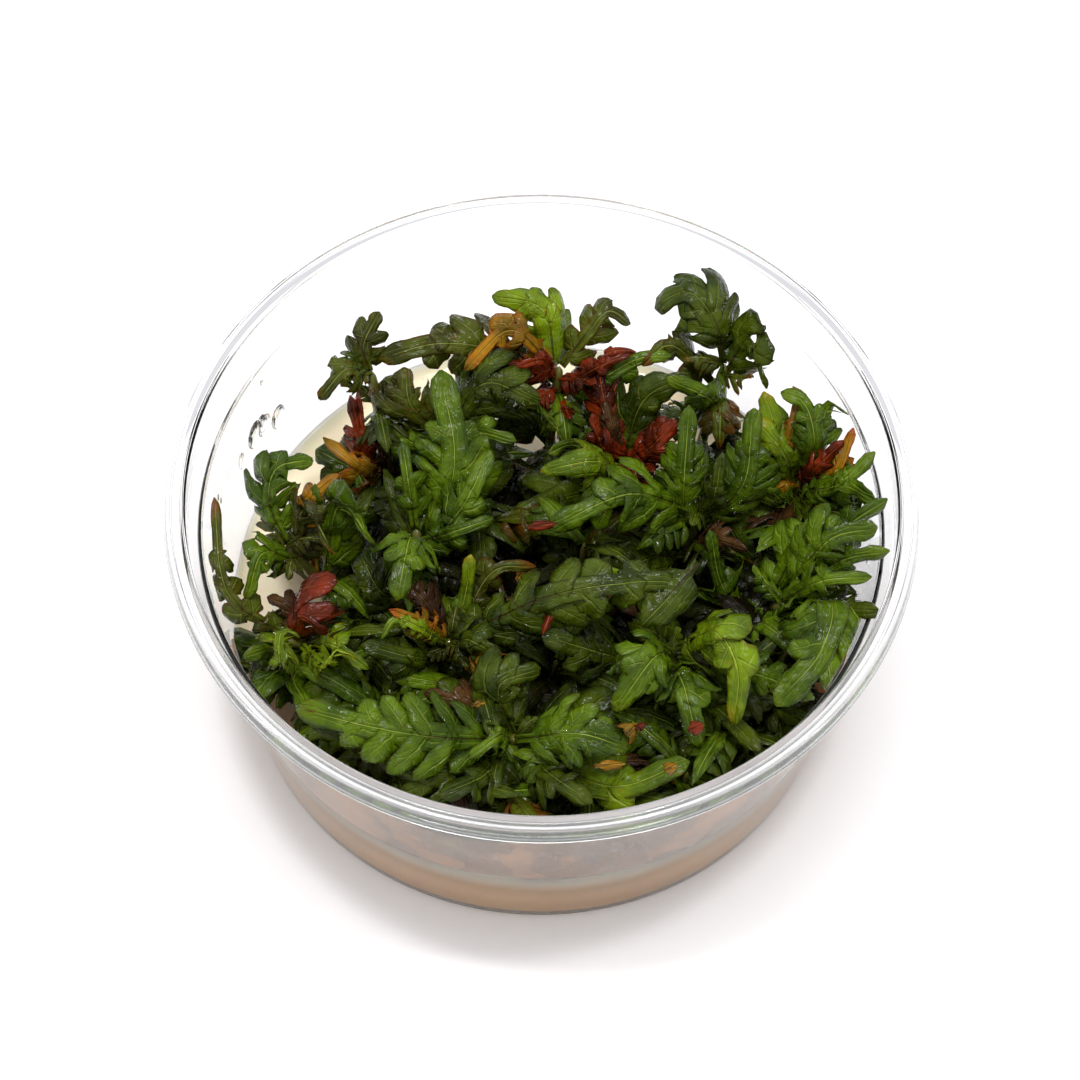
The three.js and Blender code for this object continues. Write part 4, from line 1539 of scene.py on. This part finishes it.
@dataclass
class Undergrowth:
    """The small low leaves that fill the tuft: pairs on every stem, and on short side shoots."""

    blade: Blade
    side_shoots: int = 34
    first_radius: float = 5.0
    spread: float = 6.0
    tightness: float = 0.95
    keep_off: float = 4.6
    farthest: float = 37.0
    behind: float = 20.0
    open_behind: float = 26.5
    shoot_foot: float = 9.0
    rod: Rod = Rod(0.55, 0.385, sides=6, steps=8, bulges=0.2)
    pairs: int = 4
    length: tuple[float, float] = (8.5, 13.5)
    width: tuple[float, float] = (5.0, 7.5)
    rise: tuple[float, float] = (0.25, 0.65)
    droop: tuple[float, float] = (-0.35, 0.25)
    on_stem: tuple[float, float] = (0.34, 0.85)
    on_shoot: tuple[float, float] = (0.45, 0.98)
    mat_on_stem: float = 0.25
    mat_on_shoot: float = 0.4
    mat_leaves: int = 7
    mat_height: tuple[float, float] = (16.5, 19.5)
    mat_reach: float = 33.0
    left_edge: float = -31.0
    left_slope: float = 0.2
    left_front: float = -12.0
    edge_shoots: int = 13
    edge_bearings: tuple[float, float] = (-58.0, 92.0)
    edge_feet: float = 32.5
    edge_tops: float = 35.5
    edge_height: tuple[float, float] = (23.5, 27.5)
    hollow_height: float = 25.0
    hollows: tuple[Point, ...] = ((-1.5, -21.5, 6.5), (28, -6, 4.5), (-7.5, 2, 3.5), (-1.5, -3, 3.5))

    def edge_stems(self, chance: random.Random) -> list[tuple[str, list[Vector]]]:
        """Sets side shoots along the front and the right of the wall.

        Args:
            chance: The source of their irregularities.

        Returns:
            For each side shoot, its main stem's name and the points that it passes.
        """
        found = []
        first, last = self.edge_bearings
        for i in range(self.edge_shoots):
            bearing = first + (last - first) * i / (self.edge_shoots - 1) + chance.uniform(-4, 4)
            turn = math.radians(bearing)
            out = Vector((math.sin(turn), -math.cos(turn), 0))
            foot = out * self.edge_feet + Vector((0, 0, self.shoot_foot))
            top = out * self.edge_tops + Vector((0, 0, chance.uniform(*self.edge_height)))
            found.append((nearest_stem(foot)[1], [foot, foot.lerp(top, 0.5) + out * 0.6, top]))
        return found

    def side_stems(self, chance: random.Random) -> list[tuple[str, list[Vector]]]:
        """Spreads the side shoots evenly over the gel, each beside its nearest stem.

        Args:
            chance: The source of their irregularities.

        Returns:
            For each side shoot, its main stem's name and the points that it passes.
        """
        found = []
        for i in range(self.side_shoots):
            away = self.first_radius + self.spread * math.sqrt(i) * self.tightness
            turn = i * GOLDEN_TURN
            foot = Vector((away * math.cos(turn), away * math.sin(turn), self.shoot_foot))
            gap, nearest = nearest_stem(foot)
            if gap < self.keep_off or foot.xy.length > self.farthest or foot.y > self.behind:
                continue
            top = foot + foot.normalized() * chance.uniform(0, 3)
            top += Vector((chance.uniform(-2, 2), chance.uniform(-2, 2), chance.uniform(16, 21)))
            found.append((nearest, [foot, foot.lerp(top, 0.5) + Vector((0, 0, 1)), top]))
        return found

    def leaves(
        self, stem: str, course: Course, low: float, high: float, chance: random.Random
    ) -> list[tuple[Leaf, Vector]]:
        """Sets pairs of leaves along a stem, each pair a quarter turn from the last.

        Args:
            stem: The stem's name.
            course: The stem's line.
            low: The share of its length where the first pair grows.
            high: The share where the last pair grows.
            chance: The source of their irregularities.

        Returns:
            The leaves, each with the start of its midrib.
        """
        grown = []
        turn = chance.uniform(0, math.tau)
        for pair in range(self.pairs):
            root = course.at(low + (high - low) * pair / (self.pairs - 1))
            turn += math.pi / 2 + chance.uniform(-0.3, 0.3)
            for half in (0, math.pi):
                out = outward(turn + half + chance.uniform(-0.35, 0.35))
                length = chance.uniform(*self.length)
                rise = chance.uniform(*self.rise)
                middle = root + out * length * 0.5 + Vector((0, 0, length * rise * 0.6))
                end = middle + out * length * 0.5 + Vector((0, 0, length * chance.uniform(*self.droop)))
                width = chance.uniform(*self.width)
                lobes = chance.choice((3, 3, 4))
                tone = chance.choices(list(LOW_TONES), list(LOW_TONES.values()))[0]
                in_hollow = self.hollow(middle) or self.hollow(end)
                if self.bare(middle) or self.bare(end) or (in_hollow and root.z > self.hollow_height):
                    continue
                # Leaves low in a hollow take the near-black tone: painted shade
                tone = SHADED if in_hollow else tone
                facing = tuple(out * 0.4 + Vector((0, 0, 1)))
                leaf = Leaf("", stem, 0, (tuple(middle), tuple(end)), width, lobes, tone, facing=facing)
                grown.append((leaf, root + out * 0.4))
        return grown

    def hollow(self, point: Vector) -> bool:
        """Tells whether a point is in one of the dark hollows of the tuft."""
        return any(math.hypot(point.x - x, point.y - y) < radius for x, y, radius in self.hollows)

    def bare(self, point: Vector) -> bool:
        """Tells whether a point is where the cup stands open, behind the tuft or at its left.

        Args:
            point: The point.

        Returns:
            True where no low leaves belong.
        """
        behind = point.y + self.width[1] / 2 > self.open_behind
        left = self.left_edge + self.left_slope * (point.y - self.left_front)
        return behind or (point.y > self.left_front and point.x < left)

    def mat(self, stem: str, foot: Vector, chance: random.Random) -> list[tuple[Leaf, Vector]]:
        """Spreads old leaves round a stem, just over the gel, in the near-black tone that paints shade on
        them.

        Args:
            stem: The stem's name.
            foot: The stem's foot.
            chance: The source of their irregularities.

        Returns:
            The leaves, each with the start of its midrib.
        """
        grown = []
        turn = chance.uniform(0, math.tau)
        for i in range(self.mat_leaves):
            out = outward(turn + math.tau * i / self.mat_leaves + chance.uniform(-0.2, 0.2))
            root = Vector((foot.x, foot.y, chance.uniform(*self.mat_height)))
            length = chance.uniform(*self.length)
            middle = root + out * length * 0.5 + Vector((0, 0, 1.4))
            end = root + out * length + Vector((0, 0, chance.uniform(-1.5, 1.5)))
            if end.xy.length < self.mat_reach and not self.bare(middle) and not self.bare(end):
                points = (tuple(middle), tuple(end))
                # The near-black tone is painted shade
                leaf = Leaf("", stem, 0, points, self.width[1], 3, SHADED, 0.4, facing=(0, 0, 1))
                grown.append((leaf, root + out * 0.3))
        return grown


def outward(bearing: float) -> Vector:
    """Gives the level direction at a bearing in radians, counted from the right."""
    return Vector((math.cos(bearing), math.sin(bearing), 0))


def nearest_stem(foot: Vector) -> tuple[float, str]:
    """Gives how far off the nearest stem's foot is, and that stem's name."""
    return min(((Vector(points[0]) - foot).length, name) for name, points in STEMS.items())


@dataclass
class Plant:
    """The plant: leaves that are pieces of their own, and stems with their small leaves."""

    palette: Palette
    cup: Cup
    stem_radius: float = 0.85
    leaflet_start: float = 0.3
    crown_limit: float = 29.0
    beads_each: int = 44
    bead_size: float = 0.17
    bead_lift: float = 0.12
    seed: int = 11

    def attach(self, leaf: Leaf, clear: float) -> Vector:
        """Finds where a leaf's midrib starts.

        Args:
            leaf: The leaf.
            clear: How far from the stem's middle it starts.

        Returns:
            The start of the midrib, in millimetres.
        """
        stem = Course(STEMS[leaf.stem])
        root = stem.at(leaf.height)
        heading = stem.heading(min(leaf.height, 0.99))
        away = Vector(leaf.points[0]) - root
        away -= heading * away.dot(heading)
        return root + away.normalized() * clear

    def dressed(self, name: str, bm: bmesh.types.BMesh, node: str | None, slot: str) -> bpy.types.Object:
        """Finishes leaves or a shoot in the plant's tones."""
        bmesh.ops.recalc_face_normals(bm, faces=bm.faces[:])
        return finished(name, bm, self.palette.materials, node)

    def build(self) -> None:
        """Makes every leaf and every shoot."""
        fine = Blade(self.cup)
        for number, leaf in enumerate(LEAVES):
            bm = bmesh.new()
            start = self.attach(leaf, self.stem_radius * 0.4)
            fine.grow(bm, leaf, start, random.Random(self.seed + number))
            node = "leaf_" + leaf.name
            self.dressed(leaf.name, bm, node, slot_of(node))
        plain = fine.coarser((6, 4), (18, 4), 20, 5, 8)
        coarse = fine.coarser((3, 1), (5, 2), 8, 3, 3)
        undergrowth = Undergrowth(coarse)
        side_stems = undergrowth.side_stems(random.Random(self.seed))
        side_stems += undergrowth.edge_stems(random.Random(self.seed))
        for number, stem in enumerate(STEMS):
            beside = [points for name, points in side_stems if name == stem]
            self.shoot(stem, beside, plain, undergrowth, random.Random(self.seed * 7 + number))
        self.scraps(plain)

    def shoot(
        self,
        stem: str,
        beside: list[list[Vector]],
        plain: Blade,
        undergrowth: Undergrowth,
        chance: random.Random,
    ) -> None:
        """Makes a stem with the small leaves and the side shoots that grow with it.

        Args:
            stem: The stem's name.
            beside: The points of its side shoots.
            plain: The maker of the small leaves that show.
            undergrowth: The maker of the low leaves.
            chance: The source of its irregularities.
        """
        bm = bmesh.new()
        marks(bm, "veins")
        marks(bm, "span")
        course = Course(STEMS[stem])
        skin = Palette.place(Tone.STEM)
        rod = Rod(self.stem_radius, self.stem_radius * 0.75, sides=12, steps=24, bulges=0.22)
        rod.lay(bm, course, skin)
        rows = [(row, chance) for row in LEAFLETS.get(stem, ())]
        rows += [(row, random.Random(self.seed)) for row in SPRIGS.get(stem, ())]
        for row, source in rows:
            leaf = Leaf("", stem, *row)
            plain.grow(bm, leaf, self.attach(leaf, self.leaflet_start), source)
        self.crown(bm, stem, course, plain, chance)
        low = undergrowth.leaves(stem, course, *undergrowth.on_stem, chance)
        low += undergrowth.mat(stem, course.at(undergrowth.mat_on_stem), chance)
        for points in beside:
            line = Course(points)
            undergrowth.rod.lay(bm, line, skin)
            low += undergrowth.leaves(stem, line, *undergrowth.on_shoot, chance)
            low += undergrowth.mat(stem, line.at(undergrowth.mat_on_shoot), chance)
        for leaf, start in low:
            undergrowth.blade.grow(bm, leaf, start, chance)
        node = "stem_" + stem
        self.dressed("shoot_" + stem, bm, node, slot_of(node))

    def crown(
        self, bm: bmesh.types.BMesh, stem: str, course: Course, plain: Blade, chance: random.Random
    ) -> None:
        """Sets the young leaves round the top of a stem.

        Args:
            bm: The shoot's mesh.
            stem: The stem's name.
            course: The stem's line.
            plain: The maker of the leaves.
            chance: The source of their irregularities.
        """
        tone, number, length, width = CROWNS[stem]
        turn = chance.uniform(0, math.tau)
        for i in range(number):
            root = course.at(1 - 0.25 * i / number)
            out = outward(turn + i * GOLDEN_TURN)
            long = length * chance.uniform(0.75, 1.1)
            middle = root + out * long * 0.4 + Vector((0, 0, long * chance.uniform(0.2, 0.45)))
            end = middle + out * long * 0.4 + Vector((0, 0, long * chance.uniform(-0.2, 0.35)))
            if end.y < self.crown_limit:
                facing = tuple(out * -0.3 + Vector((0, 0, 1)))
                points = (tuple(middle), tuple(end))
                leaf = Leaf("", stem, 0, points, width, 3, tone, 0.3, 0.9, facing=facing)
                plain.grow(bm, leaf, root, chance)

    def beads(self, material: bpy.types.Material) -> None:
        """Sets beads of water beside the midribs of the wet leaves.

        Args:
            material: The water.
        """
        bm = bmesh.new()
        chance = random.Random(self.seed)
        for leaf in (leaf for leaf in LEAVES if leaf.name in WET):
            start = self.attach(leaf, self.leaflet_start)
            course = Course([start, *leaf.points])
            spine = Spine(course, Vector(leaf.facing), 24)
            for _ in range(self.beads_each):
                along = course.length * chance.uniform(0.3, 0.95)
                aside = chance.choice((-1, 1)) * chance.uniform(0.25, 1.6)
                size = self.bead_size * chance.uniform(0.5, 1.2)
                made = bmesh.ops.create_uvsphere(bm, u_segments=8, v_segments=5, radius=size)["verts"]
                bmesh.ops.translate(bm, verts=made, vec=spine.place(along, aside, self.bead_lift))
        finished("leaf_beads", bm, [material], None, True)

    def scraps(self, plain: Blade) -> None:
        """Scatters the shed scraps of leaf that lie on the tuft.

        Args:
            plain: The maker of the scraps.
        """
        bm = bmesh.new()
        chance = random.Random(self.seed)
        for points, width, *look in SCRAPS:
            start = Vector(points[0]) * 2 - Vector(points[1])
            plain.grow(bm, Leaf("", "", 0, points, width, 0, *look), start, chance)
        self.dressed("leaf_scraps", bm, None, "leaf_rust")


def slot_of(node: str) -> str:
    """Looks up a material slot in the record.

    Args:
        node: The construction's piece.

    Returns:
        The slot of that piece.
    """
    for part in frame["record"]["subparts"]:
        if part["node"] == node:
            return part["material_slot"]
    raise KeyError(node)


@dataclass
class Studio:
    """The pale floor, the soft lights and the camera at the photograph's angle. Lengths are in metres.

    A lamp is its name, its place, its size and its power in watts.
    """

    elevation: float = 58.34
    distance: float = 0.4
    roll: float = -1.29
    focus_height: float = 42.45 * MM
    frame_pixels: float = 1080.0
    focal_pixels: float = 3019.9
    ring_x: float = 542.0
    ring_y: float = 498.5
    sensor: float = 36.0
    aim_height: float = 0.03
    sky: Colour = (0.98, 0.97, 1.0, 1.0)
    sky_strength: float = 0.82
    lamps: tuple[tuple[str, Point, float, float], ...] = (
        ("top_light", (0, 0.02, 0.9), 0.34, 2.2),
        ("glint", (-0.14, -0.04, 0.9), 0.08, 2.4),
        ("second_glint", (0.17, -0.08, 0.9), 0.08, 1.8),
    )

    def camera(self) -> None:
        """Places the camera so that the ring's middle falls where the photograph has it."""
        tilt = math.radians(self.elevation)
        away = Vector((0, -math.cos(tilt), math.sin(tilt)))
        centre = Vector((0, 0, self.focus_height))
        turn = Matrix.Rotation(math.radians(-self.roll), 3, away)
        right = turn @ Vector((1, 0, 0))
        up = turn @ Vector((1, 0, 0)).cross(-away)
        half = self.frame_pixels / 2
        aim = -away * self.focal_pixels + right * (half - self.ring_x) - up * (half - self.ring_y)
        aim.normalize()
        side = aim.cross(up).normalized()
        axes = Matrix((side, side.cross(aim), -aim)).transposed().to_4x4()
        data = bpy.data.cameras.new("camera")
        data.sensor_width = self.sensor
        data.lens = self.focal_pixels / self.frame_pixels * self.sensor
        data.clip_start = 0.01
        camera = placed("camera", data)
        camera.matrix_world = Matrix.Translation(centre + away * self.distance) @ axes
        bpy.context.scene.camera = camera

    def build(self) -> None:
        """Lays the floor and sets the lights, the surroundings and the camera."""
        bm = bmesh.new()
        bmesh.ops.create_grid(bm, x_segments=2, y_segments=2, size=3)
        mesh = bpy.data.meshes.new("floor")
        bm.to_mesh(mesh)
        bm.free()
        mesh.materials.append(FloorFinish().build())
        placed("floor", mesh)
        for name, place, size, power in self.lamps:
            data = bpy.data.lights.new(name, "AREA")
            data.size = size
            data.energy = power
            lamp = placed(name, data)
            lamp.location = place
            aim = Vector((0, 0, self.aim_height)) - Vector(place)
            lamp.rotation_euler = aim.to_track_quat("-Z", "Y").to_euler()
        world = bpy.data.worlds.new("surroundings")
        world.use_nodes = True
        world.node_tree.nodes["Background"].inputs["Color"].default_value = self.sky
        world.node_tree.nodes["Background"].inputs["Strength"].default_value = self.sky_strength
        bpy.context.scene.world = world
        bpy.context.scene.view_settings.view_transform = "Standard"
        self.camera()


def main() -> None:
    """Builds the cup, the gel and the plant, and sets the studio."""
    logging.basicConfig(level=logging.INFO, format="%(message)s")
    cup = Cup()
    palette = Palette()
    cup.build(ClearPlasticFinish().build())
    Gel(cup).build(GelFinish().build())
    Smear(cup).build(SmearFinish().build())
    Roots(cup).build(RootFinish().build())
    water = WaterFinish().build()
    WallDrops(cup).build(water)
    plant = Plant(palette, cup)
    plant.build()
    plant.beads(water)
    Studio().build()


if __name__ == "__main__":
    main()
